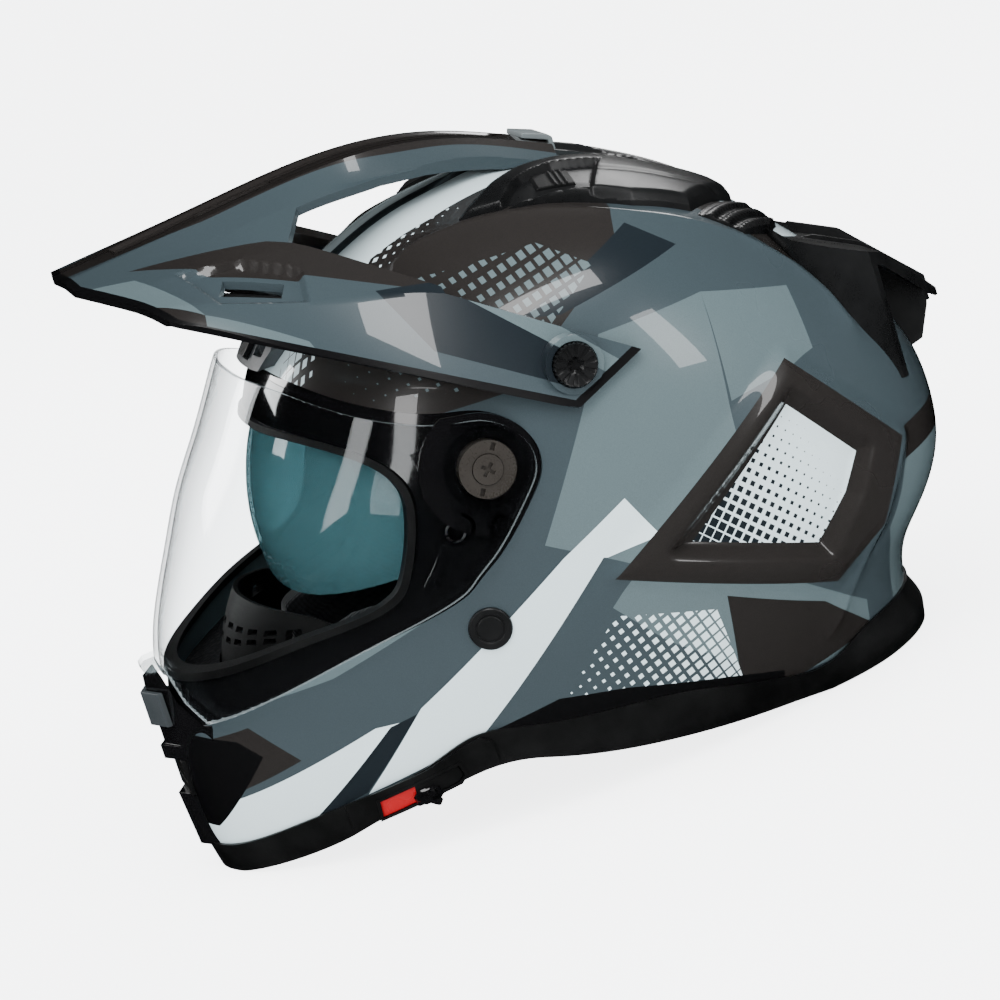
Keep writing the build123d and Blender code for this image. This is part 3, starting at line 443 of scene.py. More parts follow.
# ---------------------------------------------------------------------------
# Materials: every one is built from nodes, in object coordinates
# ---------------------------------------------------------------------------
class Tree:
    """A material's node tree with short words for what it needs."""

    def __init__(self, name):
        self.mat = bpy.data.materials.new(name)
        self.mat.use_nodes = True
        self.t = self.mat.node_tree
        self.t.nodes.clear()
        self.out = self.t.nodes.new("ShaderNodeOutputMaterial")
        self.bsdf = self.t.nodes.new("ShaderNodeBsdfPrincipled")
        self.t.links.new(self.bsdf.outputs[0], self.out.inputs[0])
        co = self.t.nodes.new("ShaderNodeTexCoord")
        self.obj = co.outputs["Object"]

    def link(self, a, b):
        self.t.links.new(a, b)

    def set(self, **kw):
        for k, v in kw.items():
            self.bsdf.inputs[k.replace("_", " ")].default_value = v
        return self

    def math(self, op, *args):
        n = self.t.nodes.new("ShaderNodeMath")
        n.operation = op
        for i, a in enumerate(args):
            if isinstance(a, (int, float)):
                n.inputs[i].default_value = a
            else:
                self.link(a, n.inputs[i])
        return n.outputs[0]

    def vmath(self, op, *args):
        n = self.t.nodes.new("ShaderNodeVectorMath")
        n.operation = op
        for i, a in enumerate(args):
            if isinstance(a, (tuple, list)):
                n.inputs[i].default_value = a
            elif isinstance(a, (int, float)):
                n.inputs["Scale"].default_value = a
            else:
                self.link(a, n.inputs[i])
        return n.outputs["Value"] if op in ("DOT_PRODUCT", "LENGTH", "DISTANCE") else n.outputs[0]

    def axes(self, vec):
        n = self.t.nodes.new("ShaderNodeSeparateXYZ")
        self.link(vec, n.inputs[0])
        return n.outputs[0], n.outputs[1], n.outputs[2]

    def join(self, x, y, z):
        n = self.t.nodes.new("ShaderNodeCombineXYZ")
        for i, a in enumerate((x, y, z)):
            if isinstance(a, (int, float)):
                n.inputs[i].default_value = a
            else:
                self.link(a, n.inputs[i])
        return n.outputs[0]

    def mix(self, fac, a, b):
        n = self.t.nodes.new("ShaderNodeMix")
        n.data_type = "RGBA"
        for socket, v in ((n.inputs[0], fac), (n.inputs[6], a), (n.inputs[7], b)):
            if isinstance(v, (int, float)):
                socket.default_value = v
            elif isinstance(v, (tuple, list)):
                socket.default_value = (*v[:3], 1.0)
            else:
                self.link(v, socket)
        return n.outputs[2]

    def noise(self, scale, detail=3.0, rough=0.5, vec=None):
        n = self.t.nodes.new("ShaderNodeTexNoise")
        n.inputs["Scale"].default_value = scale
        n.inputs["Detail"].default_value = detail
        n.inputs["Roughness"].default_value = rough
        self.link(vec if vec is not None else self.obj, n.inputs["Vector"])
        return n.outputs[0]

    def voronoi(self, scale, feature="F1", vec=None, randomness=1.0):
        n = self.t.nodes.new("ShaderNodeTexVoronoi")
        n.feature = feature
        n.inputs["Scale"].default_value = scale
        n.inputs["Randomness"].default_value = randomness
        self.link(vec if vec is not None else self.obj, n.inputs["Vector"])
        return n.outputs[0]

    def ramp(self, fac, *stops):
        n = self.t.nodes.new("ShaderNodeValToRGB")
        self.link(fac, n.inputs[0])
        e = n.color_ramp.elements
        while len(e) < len(stops):
            e.new(0.5)
        for el, (pos, col) in zip(e, stops):
            el.position = pos
            el.color = (*col, 1.0) if isinstance(col, (tuple, list)) else (col, col, col, 1.0)
        return n.outputs[0]

    def span(self, v, a, b, c=0.0, d=1.0):
        n = self.t.nodes.new("ShaderNodeMapRange")
        n.clamp = True
        self.link(v, n.inputs[0])
        for i, k in enumerate((a, b, c, d)):
            n.inputs[1 + i].default_value = k
        return n.outputs[0]

    def bump(self, height, strength=0.3, distance=0.0004):
        n = self.t.nodes.new("ShaderNodeBump")
        n.inputs["Strength"].default_value = strength
        n.inputs["Distance"].default_value = distance
        self.link(height, n.inputs["Height"])
        self.link(n.outputs[0], self.bsdf.inputs["Normal"])
        return n.outputs[0]

    def base(self, socket):
        self.link(socket, self.bsdf.inputs["Base Color"])
        return self

    def rough(self, socket):
        self.link(socket, self.bsdf.inputs["Roughness"])
        return self


def moulded(name, colour, rough=0.45, grain=900.0, bump=0.35, vary=0.12, depth=0.00012):
    """Moulded plastic with a fine spark-eroded grain."""
    t = Tree(name)
    fine = t.noise(grain, 2.0, 0.6)
    broad = t.noise(28.0, 4.0, 0.6)
    dark = tuple(c * (1 - vary) for c in colour)
    light = tuple(min(c * (1 + vary) + 0.004, 1) for c in colour)
    t.base(t.mix(t.span(broad, 0.35, 0.65), dark, light))
    t.rough(t.span(t.math("ADD", t.math("MULTIPLY", broad, 0.6), t.math("MULTIPLY", fine, 0.4)),
                   0.3, 0.7, rough - 0.07, rough + 0.08))
    t.set(Specular_IOR_Level=0.45)
    t.bump(fine, bump, depth)
    return t.mat


def polished(name, colour, rough=0.08, vary=0.08):
    """Polished or lacquered plastic with the faintest orange peel."""
    t = Tree(name)
    broad = t.noise(18.0, 3.0, 0.5)
    t.base(t.mix(t.span(broad, 0.3, 0.7), tuple(c * (1 - vary) for c in colour),
                 tuple(min(c * (1 + vary), 1) for c in colour)))
    t.rough(t.span(broad, 0.3, 0.7, rough * 0.8, rough * 1.3))
    t.set(Coat_Weight=0.6, Coat_Roughness=0.04)
    t.bump(t.noise(90.0, 2.0, 0.5), 0.06, 0.0002)
    return t.mat


def fabric(name, colour, scale=900.0, bump=0.7, light=1.9):
    """Knitted lining: rows of small loops under a soft sheen."""
    t = Tree(name)
    x, y, z = t.axes(t.obj)
    u = t.math("SINE", t.math("MULTIPLY", t.math("ADD", x, y), scale * 2.2))
    v = t.math("SINE", t.math("MULTIPLY", t.math("ADD", z, t.math("MULTIPLY", y, 0.35)),
                              scale * 2.2))
    loops = t.span(t.math("MULTIPLY", u, v), -1.0, 1.0)
    fuzz = t.noise(420.0, 4.0, 0.7)
    broad = t.noise(22.0, 3.0, 0.6)
    tone = t.math("ADD", t.math("MULTIPLY", loops, 0.5),
                  t.math("ADD", t.math("MULTIPLY", fuzz, 0.3), t.math("MULTIPLY", broad, 0.2)))
    t.base(t.ramp(tone, (0.25, tuple(c * 0.55 for c in colour)),
                  (0.75, tuple(min(c * light, 1) for c in colour))))
    t.rough(t.span(fuzz, 0.3, 0.7, 0.82, 0.97))
    t.set(Sheen_Weight=0.35, Sheen_Roughness=0.45, Specular_IOR_Level=0.25)
    t.bump(t.math("ADD", loops, t.math("MULTIPLY", fuzz, 0.6)), bump, 0.0005)
    return t.mat


def metal(name, colour, rough=0.28):
    t = Tree(name)
    x, y, z = t.axes(t.obj)
    streak = t.noise(60.0, 4.0, 0.6, t.join(t.math("MULTIPLY", x, 0.3), y,
                                            t.math("MULTIPLY", z, 12.0)))
    t.base(t.mix(streak, tuple(c * 0.8 for c in colour), colour))
    t.rough(t.span(streak, 0.3, 0.7, rough - 0.08, rough + 0.12))
    t.set(Metallic=1.0)
    t.bump(streak, 0.12, 0.0001)
    return t.mat


def foam(name, colour):
    """Expanded bead foam: tight cells with dark joints."""
    t = Tree(name)
    cell = t.voronoi(330.0, "DISTANCE_TO_EDGE")
    t.base(t.ramp(t.span(cell, 0.0, 0.12), (0.0, tuple(c * 0.5 for c in colour)), (1.0, colour)))
    t.rough(t.span(cell, 0.0, 0.2, 0.9, 0.7))
    t.bump(t.span(cell, 0.0, 0.25), 0.5, 0.0006)
    return t.mat


def webbing(name, colour):
    t = Tree(name)
    x, y, z = t.axes(t.obj)
    a = t.math("SINE", t.math("MULTIPLY", t.math("ADD", y, z), 2600.0))
    b = t.math("SINE", t.math("MULTIPLY", t.math("SUBTRACT", y, z), 2600.0))
    weave = t.span(t.math("MAXIMUM", a, b), -1.0, 1.0)
    t.base(t.mix(weave, tuple(c * 0.5 for c in colour), tuple(c * 1.8 for c in colour)))
    t.rough(t.span(weave, 0.0, 1.0, 0.85, 0.6))
    t.set(Sheen_Weight=0.2)
    t.bump(weave, 0.6, 0.0003)
    return t.mat


def leather(name, colour):
    t = Tree(name)
    cells = t.voronoi(520.0, "DISTANCE_TO_EDGE")
    crease = t.noise(70.0, 5.0, 0.65)
    t.base(t.mix(t.span(crease, 0.3, 0.7), tuple(c * 0.8 for c in colour),
                 tuple(c * 1.25 for c in colour)))
    t.rough(t.span(cells, 0.0, 0.25, 0.62, 0.4))
    t.bump(t.math("ADD", t.span(cells, 0.0, 0.2), t.math("MULTIPLY", crease, 0.6)), 0.35, 0.0004)
    return t.mat


# ---------------------------------------------------------------------------
# The paint scheme: flat angular fields under clear coat, masks cut by straight
# lines in side view (y, z) or plan (x, y), millimetres
# ---------------------------------------------------------------------------
SLATE = (0.037, 0.0525, 0.060)
LIGHT = (0.086, 0.120, 0.129)
CHAR = (0.0175, 0.0155, 0.0145)
WHITE = (0.66, 0.79, 0.82)
BLACK = (0.0035, 0.0035, 0.004)
DEEP = (0.009, 0.0135, 0.0175)


def convex(t, u, v, pts):
    """1 inside a convex outline in the plane (u, v), else 0."""
    pts = [(float(a), float(b)) for a, b in pts]
    area = sum(a[0] * b[1] - b[0] * a[1] for a, b in zip(pts, pts[1:] + pts[:1]))
    if area < 0:
        pts = pts[::-1]
    mask = None
    for (x0, y0), (x1, y1) in zip(pts, pts[1:] + pts[:1]):
        nx, ny = -(y1 - y0), (x1 - x0)
        c = nx * x0 + ny * y0
        s = t.math("MULTIPLY_ADD", u, nx, t.math("MULTIPLY", v, ny))
        inside = t.math("GREATER_THAN", s, c)
        mask = inside if mask is None else t.math("MULTIPLY", mask, inside)
    return mask


def either(t, *masks):
    out = masks[0]
    for m in masks[1:]:
        out = t.math("MAXIMUM", out, m)
    return out


def dots(t, u, v, pitch, turn, start, end, full=0.47):
    """Square dots on a turned lattice that grow from nothing at start to
    nearly touching at end (two points in the plane)."""
    c, s = math.cos(math.radians(turn)), math.sin(math.radians(turn))
    a = t.math("DIVIDE", t.math("MULTIPLY_ADD", u, c, t.math("MULTIPLY", v, s)), pitch)
    b = t.math("DIVIDE", t.math("MULTIPLY_ADD", u, -s, t.math("MULTIPLY", v, c)), pitch)
    fa = t.math("ABSOLUTE", t.math("SUBTRACT", t.math("FRACT", a), 0.5))
    fb = t.math("ABSOLUTE", t.math("SUBTRACT", t.math("FRACT", b), 0.5))
    # position of the cell's middle along the fade, so that every dot is square
    ca = t.math("MULTIPLY", t.math("ADD", t.math("FLOOR", a), 0.5), pitch)
    cb = t.math("MULTIPLY", t.math("ADD", t.math("FLOOR", b), 0.5), pitch)
    cu = t.math("MULTIPLY_ADD", ca, c, t.math("MULTIPLY", cb, -s))
    cv = t.math("MULTIPLY_ADD", ca, s, t.math("MULTIPLY", cb, c))
    dx, dy = end[0] - start[0], end[1] - start[1]
    ln = dx * dx + dy * dy
    along = t.math("ADD", t.math("MULTIPLY", cu, dx / ln),
                   t.math("MULTIPLY_ADD", cv, dy / ln, -(start[0] * dx + start[1] * dy) / ln))
    size = t.span(along, 0.0, 1.0, 0.0, full)
    return t.math("MULTIPLY", t.math("LESS_THAN", fa, size), t.math("LESS_THAN", fb, size))


def clear_coat(t, colour, flake=0.0):
    t.base(colour)
    t.set(Coat_Weight=1.0, Coat_Roughness=0.02, Coat_IOR=1.5, Specular_IOR_Level=0.35)
    broad = t.noise(14.0, 3.0, 0.5)
    t.rough(t.span(broad, 0.1, 0.9, 0.24, 0.36))
    t.bump(t.noise(420.0, 1.0, 0.3), 0.03, 0.00012)
    return t


def plane_coords(t):
    x, y, z = t.axes(t.obj)
    k = 1000.0
    x = t.math("MULTIPLY", x, k)
    return (x, t.math("ABSOLUTE", x), t.math("MULTIPLY", y, k), t.math("MULTIPLY", z, k))


def shell_paint():
    t = Tree("shell_paint")
    x, ax, y, z = plane_coords(t)
    speck = t.noise(2200.0, 2.0, 0.7)

    def tint(c, amount=0.10):
        lo, hi = tuple(k * (1 - amount) for k in c), tuple(min(k * (1 + amount), 1) for k in c)
        return t.mix(t.span(speck, 0.3, 0.7), lo, hi)

    def area(*outlines):
        return either(t, *[convex(t, y, z, o) for o in outlines])

    def top(*outlines):
        up = t.math("GREATER_THAN", z, 140.0)
        return t.math("MULTIPLY", either(t, *[convex(t, ax, y, o) for o in outlines]), up)

    col = tint(SLATE)
    # lighter field over the middle of the side
    col = t.mix(area([(-30, 120), (20, 196), (70, 196), (60, 110), (10, 96)]), col, tint(LIGHT))
    col = t.mix(area([(70, 196), (112, 182), (112, 155), (66, 150)]), col, tint(LIGHT))
    # charcoal forehead, running back into a point
    col = t.mix(area([(-140, 183), (-140, 262), (20, 262), (44, 226), (-24, 186)],
                     [(44, 226), (20, 262), (60, 262)]), col, tint(CHAR, 0.2))
    # deep blade between the two
    col = t.mix(area([(-38, 202), (52, 231), (104, 186), (84, 190), (8, 208)]), col, tint(DEEP))
    col = t.mix(area([(-10, 150), (84, 190), (50, 176), (-4, 141)]), col, tint(DEEP))
    # crown between the edge creases
    deck = top([(0, -140), (52, -110), (58, -52), (62.9, -12), (73.9, 23), (80.4, 59),
                (78, 101), (75, 119), (82, 140), (60, 200), (0, 210)])
    col = t.mix(deck, col, tint(CHAR, 0.2))
    band = top([(0, -130), (30, -130), (44, -20), (0, -20)], [(0, -20), (44, -20), (30, 60), (0, 60)],
               [(0, 60), (30, 60), (56, 150), (56, 210), (0, 210)])
    col = t.mix(t.math("MULTIPLY", band, t.math("GREATER_THAN", z, 150.0)), col, tint(WHITE, 0.03))
    spine = top([(0, -60), (7, -60), (7, 66), (0, 84)])
    col = t.mix(spine, col, tint(SLATE))
    fade = t.math("MULTIPLY", top([(26, -118), (60, -100), (74, 20), (40, -10)]),
                  dots(t, ax, y, 5.2, 45, (62, -60), (34, -66)))
    col = t.mix(fade, col, tint(WHITE, 0.03))
    # dotted fade on the forehead, growing rearwards
    fade = t.math("MULTIPLY", area([(-86, 196), (-70, 236), (12, 236), (30, 222), (-24, 190)]),
                  dots(t, y, z, 5.0, 12, (-92, 205), (34, 214), 0.40))
    col = t.mix(fade, col, tint(LIGHT))
    # pale slash from the chin to the middle, in two broken pieces
    col = t.mix(area([(-200, 4), (-200, 30), (-118, 62), (-92, 62), (-150, 22), (-170, 4)],
                     [(-128, 32), (-98, 66), (-24, 112), (-6, 106), (-58, 62), (-76, 46)],
                     [(-6, 106), (-24, 112), (8, 128), (18, 108)]),
                col, tint(WHITE, 0.03))
    col = t.mix(area([(-152, 24), (-128, 33), (-100, 64), (-112, 61)]), col, tint(DEEP))
    # black line that underscores it
    col = t.mix(area([(-100, 40), (-88, 44), (-8, 99), (16, 104), (14, 98), (-6, 94), (-70, 47)]),
                col, tint(BLACK))
    # low rear field
    col = t.mix(area([(18, 108), (60, 74), (110, 44), (110, 12), (62, 18), (10, 60), (-10, 84)]),
                col, tint(LIGHT))
    col = t.mix(area([(40, 70), (86, 46), (112, 20), (70, 16), (38, 24)]), col, tint(CHAR, 0.2))
    fade = t.math("MULTIPLY", area([(-52, 40), (-10, 80), (34, 66), (40, 26), (0, 34)]),
                  dots(t, y, z, 4.6, 20, (-56, 52), (36, 60), 0.42))
    col = t.mix(fade, col, tint(WHITE, 0.03))
    # sunk side panel: dark frame, pale floor, dotted fade
    frame_ = area([(95.8, 157.5), (143.5, 101.0), (122.0, 68.0), (93.5, 53.0), (-6.0, 96.0)])
    col = t.mix(frame_, col, tint(CHAR, 0.2))
    floor = area([(91.0, 138.0), (118.5, 104.5), (108.0, 90.0), (89.0, 74.0), (32.0, 98.5)])
    col = t.mix(floor, col, tint(WHITE, 0.03))
    fade = t.math("MULTIPLY", floor, dots(t, y, z, 4.4, 45, (104, 112), (44, 92), 0.44))
    col = t.mix(fade, col, tint(DEEP))
    # rear, behind the creases
    behind = t.math("MULTIPLY", t.math("GREATER_THAN", y, 128.0), t.math("LESS_THAN", ax, 82.0))
    low = t.math("LESS_THAN", z, 97.0)
    col = t.mix(t.math("MULTIPLY", behind, low), col, tint(LIGHT))
    col = t.mix(t.math("MULTIPLY", behind, t.math("LESS_THAN", t.math(
        "ABSOLUTE", t.math("SUBTRACT", z, 96.0)), 7.0)), col, tint(CHAR, 0.2))
    # sides of the face opening and the chin
    col = t.mix(area([(-200, 62), (-200, 100), (-92, 112), (-84, 96), (-128, 88)]), col,
                tint(LIGHT))
    col = t.mix(area([(-205, 30), (-205, 60), (-166, 72), (-150, 54)]), col, tint(CHAR, 0.2))
    # black front of the chin and black sill above the trim
    col = t.mix(area([(-206, 24), (-206, 72), (-172, 66), (-164, 58), (-188, 24)],
                     [(-76, 46), (-42, 52), (0, 44), (34, 32), (60, 24), (60, 8), (-76, 20)]),
                col, tint(BLACK))
    clear_coat(t, col)
    return t.mat


def peak_paint():
    t = Tree("peak_paint")
    x, ax, y, z = plane_coords(t)
    speck = t.noise(2200.0, 2.0, 0.7)

    def tint(c, amount=0.10):
        lo, hi = tuple(k * (1 - amount) for k in c), tuple(min(k * (1 + amount), 1) for k in c)
        return t.mix(t.span(speck, 0.3, 0.7), lo, hi)

    def plan(*outlines):
        return either(t, *[convex(t, ax, y, o) for o in outlines])

    def area(*outlines):
        return either(t, *[convex(t, y, z, o) for o in outlines])

    col = tint(SLATE)
    # dark spine and the dark panel on each wing
    col = t.mix(plan([(0, -190), (12, -190), (22, -110), (22, 60), (0, 60)]), col,
                tint(CHAR, 0.2))
    col = t.mix(plan([(40, -150), (66, -120), (100, -40), (96, -20), (56, -92)]), col,
                tint(CHAR, 0.2))
    # paler front corner and a pale blade that runs back along the wing
    col = t.mix(plan([(34, -184), (72, -172), (100, -132), (52, -150)]), col, tint(LIGHT))
    col = t.mix(plan([(100, -132), (140, -140), (140, -86), (112, -96)]), col, tint(LIGHT))
    col = t.mix(plan([(72, -172), (140, -172), (140, -140), (100, -132)]), col, tint(CHAR, 0.2))
    wing = t.math("GREATER_THAN", ax, 96.0)
    col = t.mix(t.math("MULTIPLY", wing, area([(-70, 262), (-20, 236), (16, 186), (2, 180),
                                               (-48, 212)])), col, tint(DEEP))
    col = t.mix(t.math("MULTIPLY", wing, area([(-40, 240), (-14, 226), (26, 182), (20, 178)])),
                col, tint(LIGHT))
    # black rolled lips along the front and under the wings
    lip = plan([(0, -182), (35, -178), (36, -170.5), (0, -174)],
               [(35, -178), (80, -159), (79, -152), (35, -170.5)],
               [(80, -159), (106, -150), (104, -143), (79, -152)],
               [(105, -150), (115, -139), (109, -135), (103, -143)])
    under = area([(-170, 266), (0, 168), (0, 175.2), (-170, 273.2)],
                 [(0, 166), (34, 180), (36, 190), (0, 175.2)])
    col = t.mix(either(t, lip, t.math("MULTIPLY", under, t.math("GREATER_THAN", ax, 60.0))), col,
                tint(BLACK))
    clear_coat(t, col)
    return t.mat


# ---------------------------------------------------------------------------
# Materials of the pieces
# ---------------------------------------------------------------------------
M_SHELL = shell_paint()
M_PEAK = peak_paint()
M_MATT = moulded("black_textured", (0.0034, 0.0037, 0.0039), 0.50, 1100.0, 0.5)
M_SATIN = moulded("black_satin", (0.0050, 0.0053, 0.0056), 0.30, 1500.0, 0.22)
M_GLOSS = polished("black_gloss_plastic", (0.0036, 0.0036, 0.0040))
M_GREY = moulded("grey_vent", (0.034, 0.041, 0.045), 0.42, 1000.0, 0.3)
M_CLIP = moulded("pale_clip", (0.13, 0.15, 0.155), 0.35, 900.0, 0.2)
M_RUBBER = moulded("rubber", (0.0024, 0.0024, 0.0025), 0.6, 700.0, 0.3)
M_HUB = moulded("hub_plastic", (0.026, 0.0225, 0.019), 0.28, 900.0, 0.2)
M_RED = polished("switch_red", (0.42, 0.004, 0.008), 0.25)
M_FABRIC = fabric("lining_fabric", (0.0060, 0.0060, 0.0068))
M_MESH = fabric("lining_mesh", (0.0050, 0.0050, 0.0055), 1500.0, 0.9, 2.6)
M_LEATHER = leather("neck_leather", (0.020, 0.023, 0.027))
M_FOAM = foam("bead_foam", (0.008, 0.008, 0.009))
M_WEB = webbing("webbing", (0.0065, 0.0065, 0.0065))
M_STEEL = metal("plated_steel", (0.42, 0.42, 0.43))


def shield_material(name, tint, head_on, edge_on, rough, body=None, share=0.0):
    """Thin moulded polycarbonate: straight through, with a mirror glint that
    grows towards grazing, the same from both sides of the sheet."""
    t = Tree(name)
    nodes = t.t.nodes
    through = nodes.new("ShaderNodeBsdfTransparent")
    haze = t.noise(9.0, 3.0, 0.5)
    t.link(t.mix(haze, tuple(c * 0.985 for c in tint), tint), through.inputs[0])
    t.base(t.mix(haze, (0.86, 0.88, 0.90), (0.93, 0.94, 0.95)))
    t.rough(t.span(haze, 0.3, 0.7, rough * 0.7, rough * 1.3))
    t.set(Metallic=1.0)
    t.bump(t.noise(24.0, 1.0, 0.3), 0.03, 0.0004)
    lw = nodes.new("ShaderNodeLayerWeight")
    lw.inputs[0].default_value = 0.5
    f = lw.outputs["Facing"]
    f2 = t.math("MULTIPLY", f, f)
    f4 = t.math("MULTIPLY", f2, f2)
    fac = t.math("MULTIPLY_ADD", t.math("MULTIPLY", f4, f), edge_on, head_on)
    mix = nodes.new("ShaderNodeMixShader")
    t.link(fac, mix.inputs[0])
    if body:
        # the dye in the sheet scatters a little light; on the edge material this pale diffuse body is a
        # painted highlight
        dye_and_edge_glint = nodes.new("ShaderNodeBsdfDiffuse")
        t.link(t.mix(haze, body, tuple(c * 0.93 for c in body)), dye_and_edge_glint.inputs[0])
        both = nodes.new("ShaderNodeMixShader")
        both.inputs[0].default_value = share
        t.link(through.outputs[0], both.inputs[1])
        t.link(dye_and_edge_glint.outputs[0], both.inputs[2])
        t.link(both.outputs[0], mix.inputs[1])
    else:
        t.link(through.outputs[0], mix.inputs[1])
    t.link(t.bsdf.outputs[0], mix.inputs[2])
    t.link(mix.outputs[0], t.out.inputs[0])
    return t.mat


M_CLEAR = shield_material("clear_shield", (0.955, 0.965, 0.968), 0.026, 0.85, 0.025)
M_TINT = shield_material("tinted_shield", (0.40, 0.52, 0.54), 0.03, 0.8, 0.04,
                         (0.095, 0.225, 0.25), 0.34)

# the cut edge: a stronger, rougher mirror glint and a pale diffuse body, which paints a highlight along
# the edge
M_EDGE_PAINTED_GLINT = shield_material("clear_shield_edge_painted_glint", (0.93, 0.945, 0.95), 0.10, 0.85, 0.12,
                         (0.46, 0.53, 0.55), 0.42)

# ---------------------------------------------------------------------------
# Shell, trim, gasket
# ---------------------------------------------------------------------------
ABOVE_SEAM = [(-230, 300), (-230, 13)] + smooth_line(SEAM, 2.0) + [(230, 23), (230, 300)]
PORT_LINE = smooth_line(PORT[1:-1], 1.5)
PORT_IN_LINE = smooth_line(PORT_IN[1:-1], 1.5)

shell = hull_solid("outer_shell_skin", 0.0, 520, 360, shell_relief)
cut(shell, hull_solid("inside", -4.0, 200, 140))
cut(shell, prism(ABOVE_SEAM), "INTERSECT")
cut(shell, prism([(-240, 194)] + PORT_LINE + [(-240, 84)]))
for s in (1, -1):
    p, n = skin(PLUG_Y, PLUG_Z, s)
    cut(shell, rod(p, n, 9.45, -8, 8))


def trim_relief(g):
    shape = g.shape[:2]
    p = g.reshape(-1, 3)
    y, z = p[:, 1], p[:, 2]
    out = 1.2 + 0.0 * y
    # the lip flares out at the back of the neck
    out += 5.0 * ease(y, 60, 118) * ease(z, 22, 8)
    return out.reshape(shape)


trim = hull_solid("lower_trim_skin", 0.0, 420, 300, trim_relief)
cut(trim, hull_solid("inside", -8.0, 200, 140))
cut(trim, prism([(-230, 0.02), (-230, 13)] + smooth_line(SEAM, 2.0) + [(230, 23), (230, 0.02)]),
    "INTERSECT")
cut(trim, prism([(-184, -20)] + smooth_line(RIM, 2.0) + [(84, -20)]))
smooth(trim)
dress(trim, M_MATT, nodes=["lower_trim"])

# black seat under the face shield, from the port to just outside the shield
def moved_line(line, t):
    """A line moved to its left by t."""
    p = np.asarray(line, float)
    d = np.gradient(p, axis=0)
    d /= np.maximum(np.linalg.norm(d, axis=1, keepdims=True), 1e-9)
    return (p + np.stack([-d[:, 1], d[:, 0]], 1) * t).tolist()


SEAT_LINE = moved_line(smooth_line(VISOR_REAR[2:], 1.5), -3.0)
SEAT = [(-188, 71.0)] + SEAT_LINE[2:] + [(-126, 217.5), (-240, 217.5), (-240, 66)]
seat_cut = prism(SEAT)
cut(seat_cut, hull_solid("inside", -2.4, 240, 170))
cut(shell, seat_cut)
for s in (1, -1):
    flat = rod((0, PIVOT_Y, PIVOT_Z), (s, 0, 0), 29.0, 122.6, 140, 96)
    cut(flat, prism(SEAT, "x", *sorted((s * 60.0, s * 160.0))), "INTERSECT")
    cut(shell, flat)
smooth(shell)
dress(shell, M_SHELL, nodes=["outer_shell"])
for s, word in ((1, "left"), (-1, "right")):
    plate = hull_solid("visor_base_plate_%s_skin" % word, -0.5, 300, 220)
    cut(plate, visor_solid("under", -3.3), "INTERSECT")
    cut(plate, hull_solid("inside", -2.5, 240, 170))
    cut(plate, prism(SEAT, "x", *sorted((s * 1.0, s * 160.0))), "INTERSECT")
    cut(plate, prism([(-240, 194.4)] + PORT_LINE + [(-240, 83.6)]))
    cut(plate, prism([(-240, 176), (-176, 176), (-176, 150), (-240, 150)]))
    top = prism([(-240, 190), (-123.0, 190), (-118, 200), (-100, 240), (-240, 240)])
    cut(plate, top)
    # shallow dish round the hub, a stepped lever track and a round spring seat
    cut(plate, rod((0, PIVOT_Y, PIVOT_Z), (s, 0, 0), 27.0, 122.0, 140, 96))
    dish = rod((0, PIVOT_Y, PIVOT_Z), (s, 0, 0), 28.6, 123.0, 124.4, 96)
    cut(dish, prism(SEAT, "x", *sorted((s * 60.0, s * 160.0))), "INTERSECT")
    cut(plate, dish, "UNION")
    ring = rod((0, PIVOT_Y, PIVOT_Z), (s, 0, 0), 19.5, 124.0, 125.0, 96)
    cut(ring, rod((0, PIVOT_Y, PIVOT_Z), (s, 0, 0), 17.8, 123.0, 126, 96))
    cut(ring, prism(SEAT, "x", *sorted((s * 60.0, s * 160.0))), "INTERSECT")
    cut(plate, ring, "UNION")
    cut(plate, rod((0, PIVOT_Y, PIVOT_Z), (s, 0, 0), 12.9, 110.0, 140, 96))
    for (y, z), r, deep in (((-44.6, 133.6), 5.4, 1.4), ((-44.6, 133.6), 2.0, 1.7)):
        q, n = skin(y, z, s, -0.5)
        cut(plate, rod(q, n, r, -deep, 6, 48))
    for (y, z), r, w, deep in (((-60.0, 139.0), 6.2, 1.6, 1.0),):
        q, n = skin(y, z, s, -0.5)
        ring = rod(q, n, r, -deep, 6, 48)
        cut(ring, rod(q, n, r - w, -8, 8, 48))
        cut(plate, ring)
    q, n = skin(-57.0, 152.5, s, -0.5)
    cut(plate, rod(q, n, 1.7, -1.2, 6, 24))
    q, n = skin(-59.0, 148.5, s, -0.5)
    cut(plate, rod(q, n, 1.7, -1.2, 6, 24))
    rib = smooth_line([(-70, 172), (-67, 150), (-72, 131), (-82, 118)], 1.5)
    band_ = rib + moved_line(rib, 4.0)[::-1]
    ridge = hull_solid("ridge", 0.7, 300, 220)
    cut(ridge, hull_solid("inside", -1.0, 240, 170))
    cut(ridge, prism(band_, "x", *sorted((s * 60.0, s * 160.0))), "INTERSECT")
    cut(plate, ridge, "UNION")
    bevel(plate, 0.35, 50, 1)
    apply_all(plate)
    smooth(plate)
    dress(plate, M_GLOSS, nodes=["visor_base_plate_" + word])

gasket = hull_solid("eye_port_gasket_skin", 1.2, 360, 240)
cut(gasket, hull_solid("inside", -5.0, 200, 140))
cut(gasket, prism([(-240, 194)] + PORT_LINE + [(-240, 84)]), "INTERSECT")
cut(gasket, prism([(-241, 190.8)] + PORT_IN_LINE + [(-241, 87)]))
smooth(gasket)
dress(gasket, M_RUBBER, nodes=["eye_port_gasket"])

